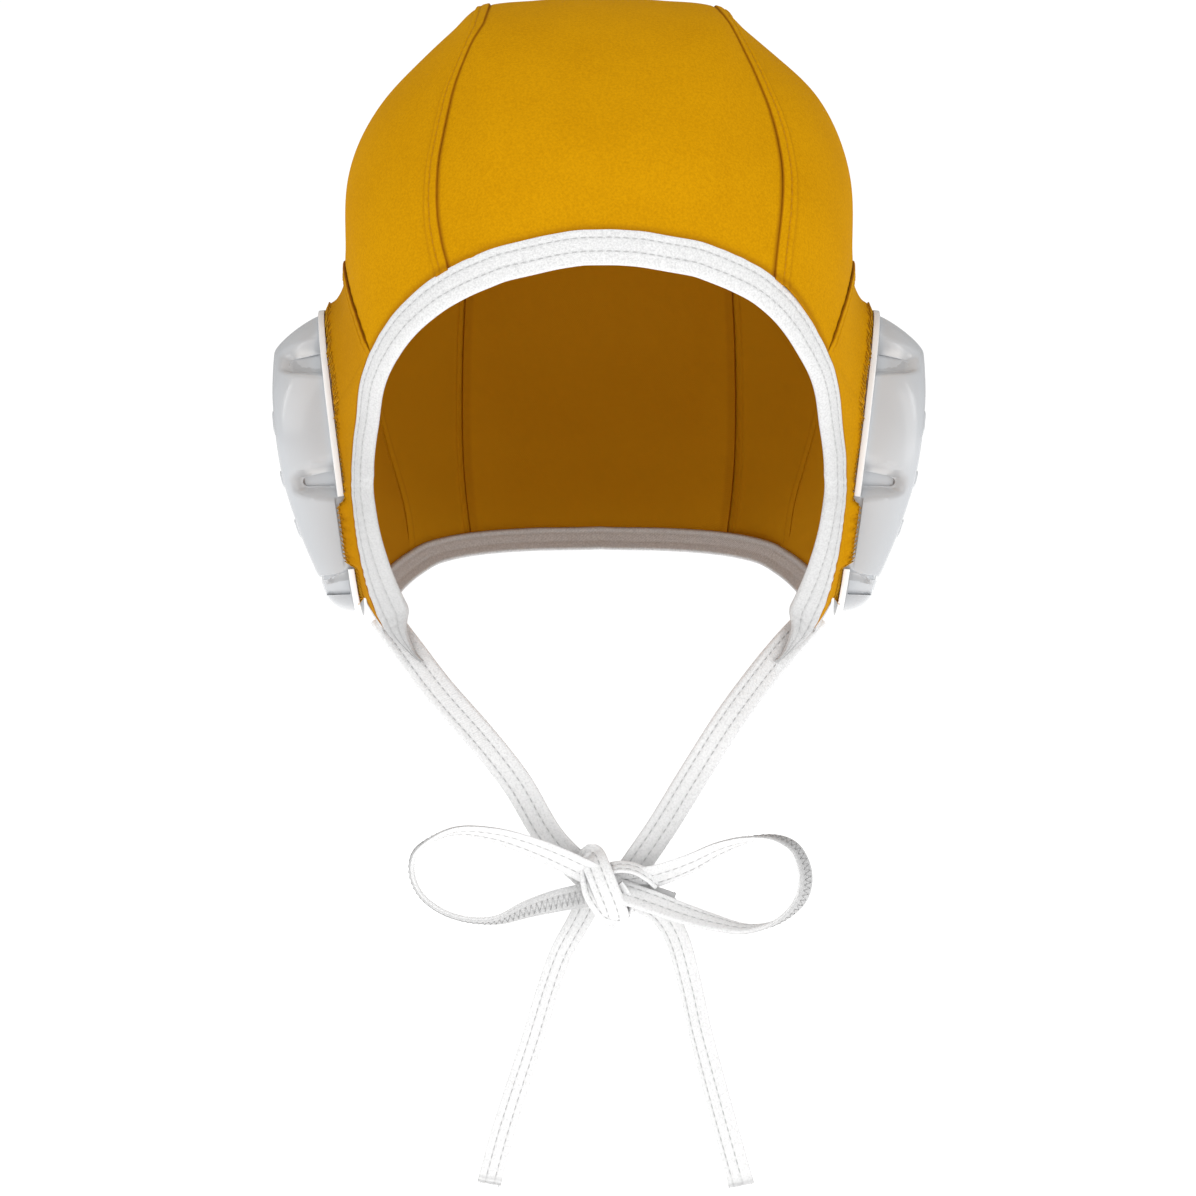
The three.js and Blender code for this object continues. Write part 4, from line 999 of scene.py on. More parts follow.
def guardShell():
    turns = np.linspace(0, 360, 361)[:-1]
    lip, flange, wall = guard["lip"], guard["flange"], guard["wall"]
    outerFlange = [(0.3, 0), (0.08, 0.1), (0, 0.35), (0, flange - 0.4), (0.1, flange - 0.12),
                   (0.4, flange), (lip - 0.6, flange), (lip - 0.2, flange + 0.12)]
    innerFlange = [(guard["flangeWidth"] - 0.2, 0), (guard["flangeWidth"], 0.3),
                   (guard["flangeWidth"], flange - wall / 4)]
    outer, outerMarks = guardRows(turns, 0, outerFlange, 46, 16)
    inner, _ = guardRows(turns, wall, innerFlange, 20, 8)
    columns = len(turns)
    count = outer.shape[0] * columns
    total = count + inner.shape[0] * columns
    points = np.concatenate([
        outer.reshape(-1, 3), inner.reshape(-1, 3), outer[-1].mean(0)[None], inner[-1].mean(0)[None]])
    column = np.arange(columns)
    ahead = (column + 1) % columns
    foot = np.stack([column, column + count, ahead + count, ahead], -1)
    quads = np.concatenate([
        gridFaces(outer.shape[0], columns, True),
        gridFaces(inner.shape[0], columns, True)[:, ::-1] + count, foot])
    last, lastInner = count - columns, total - columns
    caps = np.concatenate([
        np.stack([last + column, last + ahead, np.full(columns, total)], -1),
        np.stack([lastInner + ahead, lastInner + column, np.full(columns, total + 1)], -1)])
    # painted highlight over the flange strip, and the painted highlight streaks from the wall
    rim = outerMarks[..., 1].copy()
    rim[:len(outerFlange) - 1] = 1
    dark = guard["insideShade"]
    innerCount = total - count
    highlightMarks = np.concatenate([rim.ravel(), np.zeros(innerCount), [0, 0]])
    shades = np.concatenate([outerMarks[..., 0].ravel(), np.full(innerCount, dark), [0, dark]])
    return points, quads, caps, {"rim": highlightMarks, "shade": shades}


# simple closed block between a lower and an upper grid, for the cuts and the raised pads
def blockPiece(name, low, high, material):
    points, faces = wallShell(high, low)
    return makePiece(name, points, facingOut(points, faces), material,
                     marks={"rim": np.zeros(len(points)), "shade": np.zeros(len(points))})


# distance back from the guard's middle to the outside of its wall
def guardWallBack(up, out):
    turn = np.arccos(np.clip(up / (guard["height"] / 2), -1, 1)) / deg
    power = 2 / read(guardShoulders, "turn", turn, "power")
    rise = np.clip((out - guard["flange"]) / (guardDeep(up) - guard["flange"]), 0, 1)
    shoulder = guard["width"] * read(guardShoulders, "turn", turn, "inset")
    quarter = np.arcsin(rise ** (1 / power))
    inset = guard["lip"] + shoulder * (1 - np.cos(quarter) ** power)
    upShare = np.clip(up / (guard["height"] / 2 - inset), -1, 1)
    flat = np.sign(upShare) * np.abs(upShare) ** (guard["roundness"] / 2)
    halfWidth = (guard["width"] / 2 - inset) * (1 + guard["fullness"] * flat)
    plain = halfWidth * (1 - flat**2) ** (1 / guard["roundness"])
    return plain - guardHollow(plain, up, rise)


# blind slot at the end of a flute, tall at the flange and round towards the face
def slotPiece(slotUp, side):
    half, length = guard["slotHeight"] / 2, guard["slotLength"]
    steps = np.linspace(0, 1, 13)
    long = np.concatenate([[0, (length - half) / 2], (length - half) + half * np.sin(steps * 90 * deg)])
    tip = half * guard["slotTip"] * np.cos(steps * 90 * deg) + 0.01
    tall = np.concatenate([[half, half * guard["slotNeck"]], tip])
    out = guard["flange"] + guard["slotRise"] + long
    grids = []
    for edge in (-1, 1):
        up = slotUp + edge * tall
        deepest = guardWallBack(up, out) - guard["slotDeep"]
        grids.append(np.array([inGuard(side * (deepest + beyond), up, out) for beyond in (0, 3, 9)]))
    return blockPiece("slotCut", grids[0], grids[1], guardPlastic)


# raised pad on the cup's face, narrower at its ends and with rounded edges
def padPiece(place, tall, long):
    back, up = np.meshgrid(np.linspace(-1, 1, 33), np.linspace(-1, 1, 13), indexing="xy")
    end = np.clip(1 - np.abs(back) ** 8, 0, 1) ** 0.5
    narrowed = mix(guard["padEnd"], 1, end)
    upAt = place * guard["height"] / 2 + up * 0.5 * tall * guard["height"] * narrowed
    backAt = back * 0.5 * long * guard["width"]
    rounded = np.clip(1 - up**6, 0, 1) ** 0.5 * np.clip(1 - back**16, 0, 1) ** 0.5
    foot = guardDeep(upAt) + guard["dome"] - guard["padSink"]
    high = inGuard(backAt, upAt, foot + (guard["padRise"] + 0.1) * rounded)
    low = inGuard(backAt, upAt, guardDeep(upAt) - guard["padFoot"])
    return blockPiece("pad", low, high, guardPlastic)


# notch in the front of the flange
def notchPiece():
    ends = (guard["notchHeight"] / 2 - guard["notchDrop"], -guard["notchHeight"] / 2 - guard["notchDrop"])
    up = np.linspace(*ends, 25)
    flat = -np.abs(up / (guard["height"] / 2)) ** (guard["roundness"] / 2)
    turns = np.arccos(flat) / deg
    grids = []
    for out in (-guard["notchDepth"], guard["notchDepth"]):
        grids.append(np.array([inGuard(guardOutline(turns, inset)[0], up, out)
                               for inset in (guard["notchDeep"], -6)]))
    return blockPiece("notchCut", grids[0], grids[1], guardPlastic)


# a thin slab that runs over the cup from one side of its wall to the other
def groovePiece():
    up = guard["grooveUp"]
    outs = np.linspace(guard["flange"] + 0.5, guardDeep(up) - 0.02, 30)
    wallBack = guardWallBack(up, outs)
    top = guardDeep(up) + guard["dome"]
    backs = np.linspace(-wallBack[-1], wallBack[-1], 26)[1:-1]
    back = np.concatenate([-wallBack, backs, wallBack[::-1]])
    out = np.concatenate([outs, np.full(len(backs), top), outs[::-1]])
    run = unit(np.stack([np.gradient(back), np.gradient(out)], -1))
    grids = []
    for edge in (-0.5, 0.5):
        level = up + edge * guard["grooveTall"]
        grids.append(np.array([inGuard(back - run[:, 1] * beyond, level, out + run[:, 0] * beyond)
                               for beyond in (-guard["grooveDeep"], 2.5)]))
    return blockPiece("grooveCut", grids[0], grids[1], guardPlastic)


def applied(piece):
    result = bpy.data.meshes.new_from_object(piece.evaluated_get(bpy.context.evaluated_depsgraph_get()))
    piece.modifiers.clear()
    old = piece.data
    piece.data = result
    bpy.data.meshes.remove(old)
    return piece


def makeGuards():
    points, quads, caps, marks = guardShell()
    quadsOut = facingOut(points, quads)
    flipped = not np.array_equal(quadsOut, quads)
    faces = [list(face) for face in quadsOut] + [list(face[::-1] if flipped else face) for face in caps]
    piece = makePiece("earGuardRight", points, faces, guardPlastic, marks=marks)
    tools = [(padPiece(*row), "UNION") for row in zip(*facePads.values())]
    for slotUp in flutes["slotUp"]:
        tools += [(slotPiece(slotUp * guard["height"] / 2, side), "DIFFERENCE") for side in (-1, 1)]
    tools += [(notchPiece(), "DIFFERENCE"), (groovePiece(), "DIFFERENCE")]
    for tool, operation in tools:
        modifier = piece.modifiers.new(tool.name, "BOOLEAN")
        modifier.operation = operation
        modifier.solver = "MANIFOLD"
        modifier.object = tool
    applied(piece)
    for tool, _ in tools:
        bpy.data.objects.remove(tool)
    piece.data.set_sharp_from_angle(angle=32 * deg)
    left = piece.copy()
    left.data = piece.data.copy()
    left.name = "earGuardLeft"
    for vertex in left.data.vertices:
        vertex.co.x = -vertex.co.x
    left.data.flip_normals()
    bpy.context.collection.objects.link(left)
    finishPiece(piece, "guard_plastic", "ear_guard_right")
    finishPiece(left, "guard_plastic", "ear_guard_left")
    return len(piece.data.polygons)


# ear panels: from the hole under the guard out to the seam, the lower edge and the face opening

earPanel = {
    "seam": 230, "nape": 110, "rim": 110, "between": 16, "seatInset": 1.0, "sewStep": 10,
    "crumple": 0.5, "stripRise": 0.35, "stripAway": 2.6, "stripWidth": 2.0,
    "push": 2.5, "pushWidth": 3.6, "notchLow": (-32.5, -30), "notchHigh": (-14, -11.5),
    "gapShade": 0.45, "gapWidth": 2.2, "wideShade": 0.14, "wideWidth": 7,
    # darkerRight and darkerLeft add painted shade over each whole ear panel, more on the left
    "darkerRight": 0.03, "darkerLeft": 0.26, "overlockRow": 4, "overlockRise": 0.15,
}
zigzagLines = []
zigzagSides = []


def makeEarPanels():
    size = earPanel

    def seamCross(line):
        def measure(along):
            tilt, turn = bearing(line(along))
            return tilt - earSeamTilt(turn)
        return measure

    rimCorner = crossing(np.array(0.2), 0.5, seamCross(rimLine))
    napeCorner = crossing(np.array(0.2), 1, lambda along: -seamCross(napeLine)(along))
    firstTurn = bearing(rimLine(rimCorner))[1]
    lastTurn = bearing(napeLine(napeCorner))[1]
    turns = np.linspace(firstTurn, lastTurn, size["seam"], endpoint=False)
    border = np.concatenate([
        onForm(earSeamTilt(turns), turns),
        napeLine(np.linspace(napeCorner, 0, size["nape"], endpoint=False)),
        rimLine(np.linspace(1, rimCorner, size["rim"], endpoint=False)),
    ])
    seamed = np.arange(len(border)) < size["seam"]
    ends = np.minimum(np.arange(len(border)), np.abs(size["seam"] - 1 - np.arange(len(border))))
    lapShare = np.where(seamed, ease(-1, 6, ends), 0)
    centre = inGuard(0, 0, 0)
    inward = centre - border
    inward[:, 0] = 0
    inward = unit(inward)
    away = border - centre
    turn = np.arctan2(-away[:, 1] / guard["width"], away[:, 2] / guard["height"]) / deg
    seatBack, seatUp = guardOutline(turn, size["seatInset"])
    holeBack, holeUp = guardOutline(turn, guard["flangeWidth"])
    reach = np.hypot(away[:, 1], away @ guardUp)
    seatShare = np.minimum(1, 0.97 * reach / np.hypot(seatBack, seatUp))
    holeShare = np.minimum(1, 0.9 * reach / np.hypot(holeBack, holeUp))
    seat = inGuard(seatBack * seatShare, seatUp * seatShare, -guard["seat"])
    hole = inGuard(holeBack * holeShare, holeUp * holeShare, -guard["seat"])
    lap = np.append(lapSteps, [4.6, 5.0])
    tuck = np.where(seamed, 0.0, cloth["tuck"])[:, None]
    near = [ontoForm(border + inward * (offset - tuck)) for offset in lap]
    lapEnd = near[-1]
    rows = [hole, mix(hole, seat, 0.5), seat]
    for share in np.linspace(0, 1, size["between"] + 2)[1:-1]:
        straight = mix(seat, lapEnd, share)
        onto = 0.55 * share * share * (3 - 2 * share) + 0.45 * share**6
        rows.append(mix(straight, ontoForm(straight), onto))
    rows += near[::-1]
    base = np.array(rows)
    distance = np.concatenate([np.full(3 + size["between"], 30.0), lap[::-1]])[:, None]
    normals = gridNormals(base, True)
    along = np.broadcast_to(np.arange(len(border))[None, :] * 1.1, base.shape[:2])
    lapRise = lapProfile(distance) * lapShare
    flat = ease(0, 6, np.broadcast_to(distance, base.shape[:2]))
    beside = np.linalg.norm(base - seat[None], axis=-1)
    soft = softRise(base) * flat * ease(0, 8, beside)
    pulled = puckers(along, np.abs(distance - cloth["stitchAway"])) * lapShare
    # crumpled strip beside the guard's rim, and the cloth that pushes up into the rim's notch
    crumple = 0.55 * np.sin(along / 1.5 + 1.2 * np.sin(along / 4.3)) + 0.35 * np.sin(along / 5.1 + 0.9)
    rowNumber = np.arange(len(base))[:, None]
    strip = np.exp(-(((beside - size["stripAway"]) / size["stripWidth"]) ** 2)) * (rowNumber > 2)
    strip = strip * ease(-0.72, -0.5, seatUp / (guard["height"] / 2))[None, :]
    inNotch = ease(*size["notchLow"], seatUp) * (1 - ease(*size["notchHigh"], seatUp)) * (seatBack < 0)
    push = size["push"] * np.exp(-((beside / size["pushWidth"]) ** 2)) * (rowNumber > 1) * inNotch[None, :]
    rise = lapRise + soft + pulled + crumple * strip * size["crumple"] + size["stripRise"] * strip + push
    folded = (distance < cloth["foldRadius"]) & seamed[None, :]
    drop = np.where(folded, np.minimum(cloth["foldWall"], rise - cloth["least"]), rise - cloth["wall"])
    edge = np.where(seamed[None, :], 0, seamShade(distance - cloth["tuck"], *seamLook["earEdge"]))
    gap = size["gapShade"] * np.exp(-beside / size["gapWidth"])
    gap = (gap + size["wideShade"] * np.exp(-beside / size["wideWidth"])) * (rowNumber > 1)
    shade = np.clip(lapShade(distance, lapShare) + edge + gap, 0, 1)
    outer = base + normals * rise[..., None]
    inner = base + normals * drop[..., None]
    points, faces = wallShell(outer, inner, True)
    uv = np.stack([along, arcs(base, 0)], -1).reshape(-1, 2)
    wide, tall = float(np.ptp(base[..., 1])), float(np.ptp(base[..., 2]))
    area = float(np.clip(gridArea(base, True), 0.31 * wide * tall, wide * tall))
    sewLine = outer[len(base) - 1 - size["sewStep"]][2:size["seam"] - 2]
    for name, side in (("Right", 1), ("Left", -1)):
        placed = points if side > 0 else mirrored(points)
        piece = makePiece("earPanel" + name, placed, facingOut(placed, faces), capCloth,
                          np.concatenate([uv, uv]), clothMarks(shade, size["darker" + name]))
        finishPiece(piece, "cap_cloth", "ear_panel_" + name.lower())
        declareCloth((wide, tall), area)
        sewnCloth.append(sewLine if side > 0 else mirrored(sewLine))
    # overlocked strip on the cloth beside the guard's rim
    rowAt = size["overlockRow"]
    middle = outer[rowAt] + normals[rowAt] * size["overlockRise"]
    sideways = unit(outer[rowAt + 1] - outer[rowAt - 1])
    loop = np.concatenate([middle, middle[:1]])
    across = np.concatenate([sideways, sideways[:1]])
    zigzagLines.extend([loop, mirrored(loop)])
    zigzagSides.extend([across, mirrored(across)])


makeCentrePanel()
makeSidePanel("Right", 1)
makeSidePanel("Left", -1)
makeEarPanels()
print("cloth panels made")
guardFaces = makeGuards()
print("ear guards made,", guardFaces, "faces each")


# white tape

tape = {
    "wide": 10.6, "faceFlat": 11.2, "napeFlat": 10.2, "proud": 0.5, "strips": (0.26, 0.36, 0.38),
    "channels": (0.25, 0.61), "channelDepth": 0.22, "channelWidth": 0.035, "bulge": 0.1,
    "channelShade": 0.28, "shadeWidth": 0.03,
    # painted shade on the left and right sides of the face binding
    "sideShadeLeft": 0.54, "sideShadeRight": 0.37,
    "napeWide": 8.5, "napeTuck": 1.6, "tieWide": 9.2, "tieThick": 1.4, "samples": 17, "stitch": 0.02,
    # painted shade towards the ties' ends at the bow, and the places and look of the hem's painted shade
    # lines
    "endShade": 0.22, "hem": (0.6, 1.9), "hemLook": (0.3, 0.75), "backRise": 0.05,
    "tieStations": 160, "loopStations": 220, "tailStations": 200, "bandStations": 110,
}
tapeSewing = []
backLines = []
backSides = []


# front face of a tape across its width: rolled edges, sewn channels and a soft bulge between them
def tapeRelief(across, thick):
    roll = np.clip(1 - np.abs(2 * across - 1) ** 14, 0, 1) ** 0.5
    relief = tape["bulge"] * np.sin(across * math.pi)
    for channel in tape["channels"]:
        relief = relief - tape["channelDepth"] * np.exp(-(((across - channel) / tape["channelWidth"]) ** 2))
    return (thick / 2) * (roll - 1) + relief


def sweepShell(front, back):
    stations, samples = front.shape[:2]
    rings = np.concatenate([front, back[:, ::-1]], 1)
    count = rings.shape[1]
    faces = gridFaces(stations, count, True)
    first = np.arange(samples - 1)
    caps = []
    for start, flip in ((0, False), ((stations - 1) * count, True)):
        cap = np.stack([start + first, start + first + 1,
                        start + count - 2 - first, start + count - 1 - first], -1)
        caps.append(cap[:, ::-1] if flip else cap)
    return rings.reshape(-1, 3), np.concatenate([faces] + caps)


# the share given after the node draws the piece in the brighter tape colour, which is painted light
def tapePiece(name, front, back, node, loose=0.0, shade=None):
    points, faces = sweepShell(front, back)
    stations, samples = front.shape[:2]
    along = pathLengths(front[:, samples // 2])
    width = np.linalg.norm(front[:, -1] - front[:, 0], axis=-1).max()
    across = np.linspace(0, width, samples)
    ringAcross = np.concatenate([across, across[::-1]])
    uv = np.stack(np.broadcast_arrays(ringAcross[None, :], along[:, None]), -1).reshape(-1, 2)
    inside = np.concatenate([np.zeros(samples), np.ones(samples)])
    inside = np.broadcast_to(inside[None, :], (stations, 2 * samples))
    places = np.linspace(0, 1, samples)
    channelShade = sum(seamShade(places - channel, tape["shadeWidth"], 1) for channel in tape["channels"])
    channelShade = channelShade * tape["channelShade"]
    ringShade = np.concatenate([channelShade, channelShade[::-1]])[None, :]
    ringShade = np.broadcast_to(ringShade, (stations, 2 * samples))
    if shade is not None:
        ringShade = ringShade + shade[:, None]
    marks = {
        "shade": np.clip(ringShade, 0, 1).ravel(), "inside": inside.ravel(),
        "loose": np.full(inside.size, loose),
    }
    piece = makePiece(name, points, facingOut(points, faces), whiteTape, uv, marks, sharp=60)
    return finishPiece(piece, "white_tape", *([node] if node else []))


# a row of stitches along each of the tape's channels
def sewChannels(front, facing, kept):
    lifted = front + facing * tape["stitch"]
    for channel in tape["channels"]:
        tapeSewing.append(lifted[kept, int(round(channel * (front.shape[1] - 1)))])


def makeFaceBinding():
    size = {
        "stations": 620, "samples": 25, "end": 1.12, "sewnTo": 1.04,
        "narrowFrom": 0.97, "narrowed": 0.92, "wave": 0.06,
    }
    place = np.linspace(-size["end"], size["end"], size["stations"])
    step = 0.004

    def at(where):
        point = rimLine(np.abs(where), np.sign(where))
        point[..., 0] *= np.where(where < 0, -1, 1)
        return point

    point = at(place)
    tangent = unit(at(place + step) - at(place - step))
    forward = np.array([0.0, -1.0, 0.0])
    inward = unit(np.cross(tangent, np.broadcast_to(forward, tangent.shape)))
    along = np.abs(place)
    outerTurn = read(rimTable, "along", along, "outerTurn")
    innerTurn = read(rimTable, "along", along, "innerTurn")
    narrow = 1 - size["narrowed"] * ease(size["narrowFrom"], size["end"], along)
    across = np.linspace(0, 1, size["samples"])
    edgeStrip, middleStrip, innerStrip = tape["strips"]
    bend = ease(edgeStrip + middleStrip * 0.6, 1 - innerStrip * 0.45, across)
    turn = mix(outerTurn[:, None], innerTurn[:, None], bend[None, :]) * deg
    run = np.cos(turn)[..., None] * inward[:, None] + np.sin(turn)[..., None] * forward
    width = tape["wide"] * narrow
    stepLong = (width / (size["samples"] - 1))[:, None, None]
    reached = np.cumsum((run + np.roll(run, 1, 1)) / 2 * stepLong, 1)
    middle = point[:, None] + reached - run[:, :1] * stepLong
    facing = unit(np.cross(run, np.broadcast_to(tangent[:, None], run.shape)))
    ray = unit(point - earAxis)
    lift = ease(0.94, 1.04, along)[:, None, None]
    atCloth = unit(mix(ray[:, None], facing, lift))
    blend = ease(0, 0.4, across)[None, :, None]
    normal = unit(mix(atCloth, facing, blend))
    thick = head["cloth"] + 2 * tape["proud"]
    relief = tapeRelief(across, thick)[None, :, None]
    wave = size["wave"] * np.sin(place * 150 + 2 * np.sin(place * 37))[:, None, None]
    front = middle + normal * (tape["proud"] + relief + wave)
    back = middle + normal * (tape["proud"] - thick - relief * 0.6)
    # painted shade on the sides of the face binding, more on the left
    paintedSideShade = np.where(place < 0, tape["sideShadeLeft"], tape["sideShadeRight"]) * ease(0.22, 0.6, along)
    piece = tapePiece("faceBinding", front, back, "face_binding", 0.0, paintedSideShade)
    sewChannels(front, normal, along < size["sewnTo"])


def makeNapeBinding():
    size = {"stations": 420, "edge": 0.3}
    half = np.linspace(0.02, 1, size["stations"] // 2)
    point = napeLine(half)
    tangent = unit(napeLine(np.minimum(half + 0.01, 1)) - napeLine(np.maximum(half - 0.01, 0)))
    ray = unit(point - earAxis)
    down = unit(np.cross(ray, tangent))
    down = np.where(down[:, 2:] > 0, -down, down)
    across = np.linspace(0, 1, tape["samples"])
    thick = head["cloth"] + 2 * tape["proud"]
    offset = mix(size["edge"], tape["napeWide"], across)[None, :, None]
    tuck = ray[:, None] * tape["napeTuck"] * (across**2)[None, :, None]
    middle = point[:, None] + down[:, None] * offset - tuck
    relief = tapeRelief(across, thick)[None, :, None]
    front = middle + ray[:, None] * (tape["proud"] + relief)
    back = middle + ray[:, None] * (tape["proud"] - thick - relief * 0.6)
    front = np.concatenate([mirrored(front), front[::-1][1:]])
    back = np.concatenate([mirrored(back), back[::-1][1:]])
    piece = tapePiece("napeBinding", front, back, "nape_binding")
    rays = np.concatenate([mirrored(ray), ray[::-1][1:]])
    sewChannels(front, rays[:, None], slice(None))


# loose tapes, along smooth routes through chosen places
knot = {
    "aside": 1.6, "front": 54, "drop": 133, "wide": 15, "deep": 12.6, "tall": 18,
    "leftReach": 57, "rightReach": 59.4, "halfHeight": 13, "loopFront": 6,
    "leftDrop": 88.6, "rightDrop": 89.6, "leftSpread": 34.2, "rightSpread": 40.8, "tailBack": 9.4,
}
knotCentre = np.array([knot["aside"], -knot["front"], earAxis[2] - knot["drop"]])
tieLeft = table(
    "across front down lean",
    (0.002, -0.197, -0.041, 20), (0.12, 0.046, 0.093, 8), (0.259, 0.318, 0.247, 0),
    (0.478, 0.636, 0.46, 0), (0.612, 0.758, 0.61, -6), (0.764, 0.849, 0.827, -14),
    (0.932, 0.879, 0.974, -14),
)
tieRight = table(
    "across front down lean",
    (0.002, -0.197, -0.043, 20), (0.127, 0.031, 0.065, 8), (0.258, 0.288, 0.192, 0),
    (0.421, 0.546, 0.371, 0), (0.596, 0.727, 0.596, -6), (0.736, 0.849, 0.782, -14),
    (0.884, 0.879, 0.961, -14),
)
loopLeft = table(
    "across front up lean",
    (0.046, 0.58, 0.21, 37), (0.237, 0.77, 0.62, 42), (0.393, 0.88, 0.91, 50),
    (0.574, 0.97, 1.16, 62), (0.767, 1, 1.25, 76), (0.902, 1, 1.05, 86), (0.984, 1, 0.75, 90),
    (1, 1, 0.32, 90), (0.958, 1, -0.16, 92), (0.86, 0.93, -0.53, 94), (0.725, 0.83, -0.75, 96),
    (0.563, 0.63, -0.78, 104), (0.398, 0.4, -0.53, 124), (0.247, 0.1, -0.35, 138),
    (0.063, -0.2, -0.2, 146),
)
loopRight = table(
    "across front up lean",
    (0.04, -0.13, 0.05, 37), (0.247, 0.1, 0.2, 42), (0.423, 0.4, 0.49, 50), (0.572, 0.67, 0.84, 64),
    (0.707, 0.83, 1.05, 80), (0.842, 0.93, 1.09, 96), (0.946, 1, 0.86, 108), (1, 1, 0.29, 114),
    (0.987, 1, -0.21, 112), (0.929, 1, -0.58, 104), (0.838, 0.97, -0.85, 94),
    (0.707, 0.93, -0.97, 80), (0.537, 0.9, -0.82, 62), (0.392, 0.83, -0.62, 52),
    (0.247, 0.77, -0.38, 46), (0.057, 0.67, -0.08, 42),
)
tailLeft = table(
    "across back down lean",
    (0.09, 1, 0.023, 30), (0.202, 0.79, 0.113, 38), (0.377, 0.36, 0.233, 43),
    (0.494, 0.11, 0.357, 43), (0.62, 0, 0.518, 42), (0.766, -0.06, 0.689, 42),
    (0.88, -0.11, 0.83, 40), (1, -0.11, 1, 40),
)
tailRight = table(
    "across back down lean",
    (0.169, 0.77, 0.045, 34), (0.39, 0.77, 0.089, 34), (0.515, 0.68, 0.167, 38),
    (0.618, 0.57, 0.324, 40), (0.691, 0.47, 0.477, 40), (0.77, 0.38, 0.616, 38),
    (0.858, 0.32, 0.766, 36), (1, 0.32, 1, 34),
)


def tieRoute(tab, side):
    tip = rimLine(1.0) * np.array([side, 1, 1])
    shares = np.stack([tab["across"], tab["front"], tab["down"]], -1)
    return mix(tip, knotCentre, shares), -side * tab["lean"]


def loopRoute(tab, side, reach):
    away = np.stack([side * reach * tab["across"], -knot["loopFront"] * tab["front"],
                     knot["halfHeight"] * tab["up"]], -1)
    return knotCentre + away, -side * tab["lean"]


def tailRoute(tab, side, spread, drop):
    away = np.stack([side * spread * tab["across"], knot["tailBack"] * tab["back"],
                     -drop * tab["down"]], -1)
    return knotCentre + away, -side * tab["lean"]


# smooth curve through the places, with knots spaced by the root of their distance
def smoothRoute(places, count):
    places = np.concatenate([[2 * places[0] - places[1]], places, [2 * places[-1] - places[-2]]])
    last = len(places) - 3
    where = np.linspace(0, last, count)
    row = np.minimum(where.astype(int), last - 1)
    weight = where - row
    p0, p1, p2, p3 = (places[row + step] for step in range(4))
    gap = [np.sqrt(np.linalg.norm(b - a, axis=-1))[:, None] for a, b in ((p0, p1), (p1, p2), (p2, p3))]
    leave = ((p1 - p0) / gap[0] - (p2 - p0) / (gap[0] + gap[1]) + (p2 - p1) / gap[1]) * gap[1]
    arrive = ((p2 - p1) / gap[1] - (p3 - p1) / (gap[1] + gap[2]) + (p3 - p2) / gap[2]) * gap[1]
    t = weight[:, None]
    return (p1 + leave * t + (-3 * p1 + 3 * p2 - 2 * leave - arrive) * t**2
            + (2 * p1 - 2 * p2 + leave + arrive) * t**3)


# a tape along its route; painted shade can darken it towards its end and all over, and the turned rows of
# its hem are painted shade lines
def looseTape(name, node, places, leans, count, wide=tape["tieWide"], thick=tape["tieThick"],
              hem=(), endShade=0.0, evenShade=0.0):
    middle = smoothRoute(places, count)
    tangent = unit(np.gradient(middle, axis=0))
    depth = np.broadcast_to(np.array([0.0, 1.0, 0.0]), tangent.shape)
    flat = unit(np.cross(tangent, depth))
    deep = unit(np.cross(flat, tangent))
    leanTable = {"row": np.arange(len(leans), dtype=float), "lean": leans}
    lean = read(leanTable, "row", np.linspace(0, len(leans) - 1, count), "lean")[:, None] * deg
    across = flat * np.cos(lean) + deep * np.sin(lean)
    face = unit(np.cross(tangent, across))
    share = np.linspace(0, 1, tape["samples"])
    relief = tapeRelief(share, thick)
    offset = ((share - 0.5) * wide)[None, :, None]
    body = middle[:, None] + across[:, None] * offset
    front = body + face[:, None] * (thick / 2 + relief)[None, :, None]
    back = body - face[:, None] * (thick / 2 + relief * 0.7)[None, :, None]
    along = pathLengths(middle)
    # painted shade all over and towards the end, and painted shade lines at the hem's rows
    shade = evenShade + endShade * ease(0.55, 1, along / along[-1])
    for row in hem:
        shade = shade + seamShade(along[-1] - along - row, *tape["hemLook"])
    tapePiece(name, front, back, node, 1.0, shade)
    sewChannels(front, face[:, None], slice(2, -6 if hem else -2))
    backLines.append(back[4:-4, tape["samples"] // 2] - face[4:-4] * tape["backRise"])
    backSides.append(across[4:-4])
    return front, tangent


makeFaceBinding()
makeNapeBinding()
print("bindings made")
looseTape("tieLeft", "tie_left", *tieRoute(tieLeft, -1), tape["tieStations"], endShade=tape["endShade"])
looseTape("tieRight", "tie_right", *tieRoute(tieRight, 1), tape["tieStations"], endShade=tape["endShade"])
loops = {
    "Left": loopRoute(loopLeft, -1, knot["leftReach"]),
    "Right": loopRoute(loopRight, 1, knot["rightReach"]),
}
for name, route in loops.items():
    looseTape("bowLoop" + name, "bow_loop_" + name.lower(), *route, tape["loopStations"])
tails = {
    "Left": tailRoute(tailLeft, -1, knot["leftSpread"], knot["leftDrop"]),
    "Right": tailRoute(tailRight, 1, knot["rightSpread"], knot["rightDrop"]),
}
fringeLines = []
fringeSides = []
for name, route in tails.items():
    front, tangent = looseTape("bowTail" + name, "bow_tail_" + name.lower(), *route, tape["tailStations"],
                               hem=tape["hem"])
    fringeLines.append(front[-2])
    fringeSides.append(np.repeat(tangent[-1:], len(front[-2]), axis=0))
print("ties and bow made")


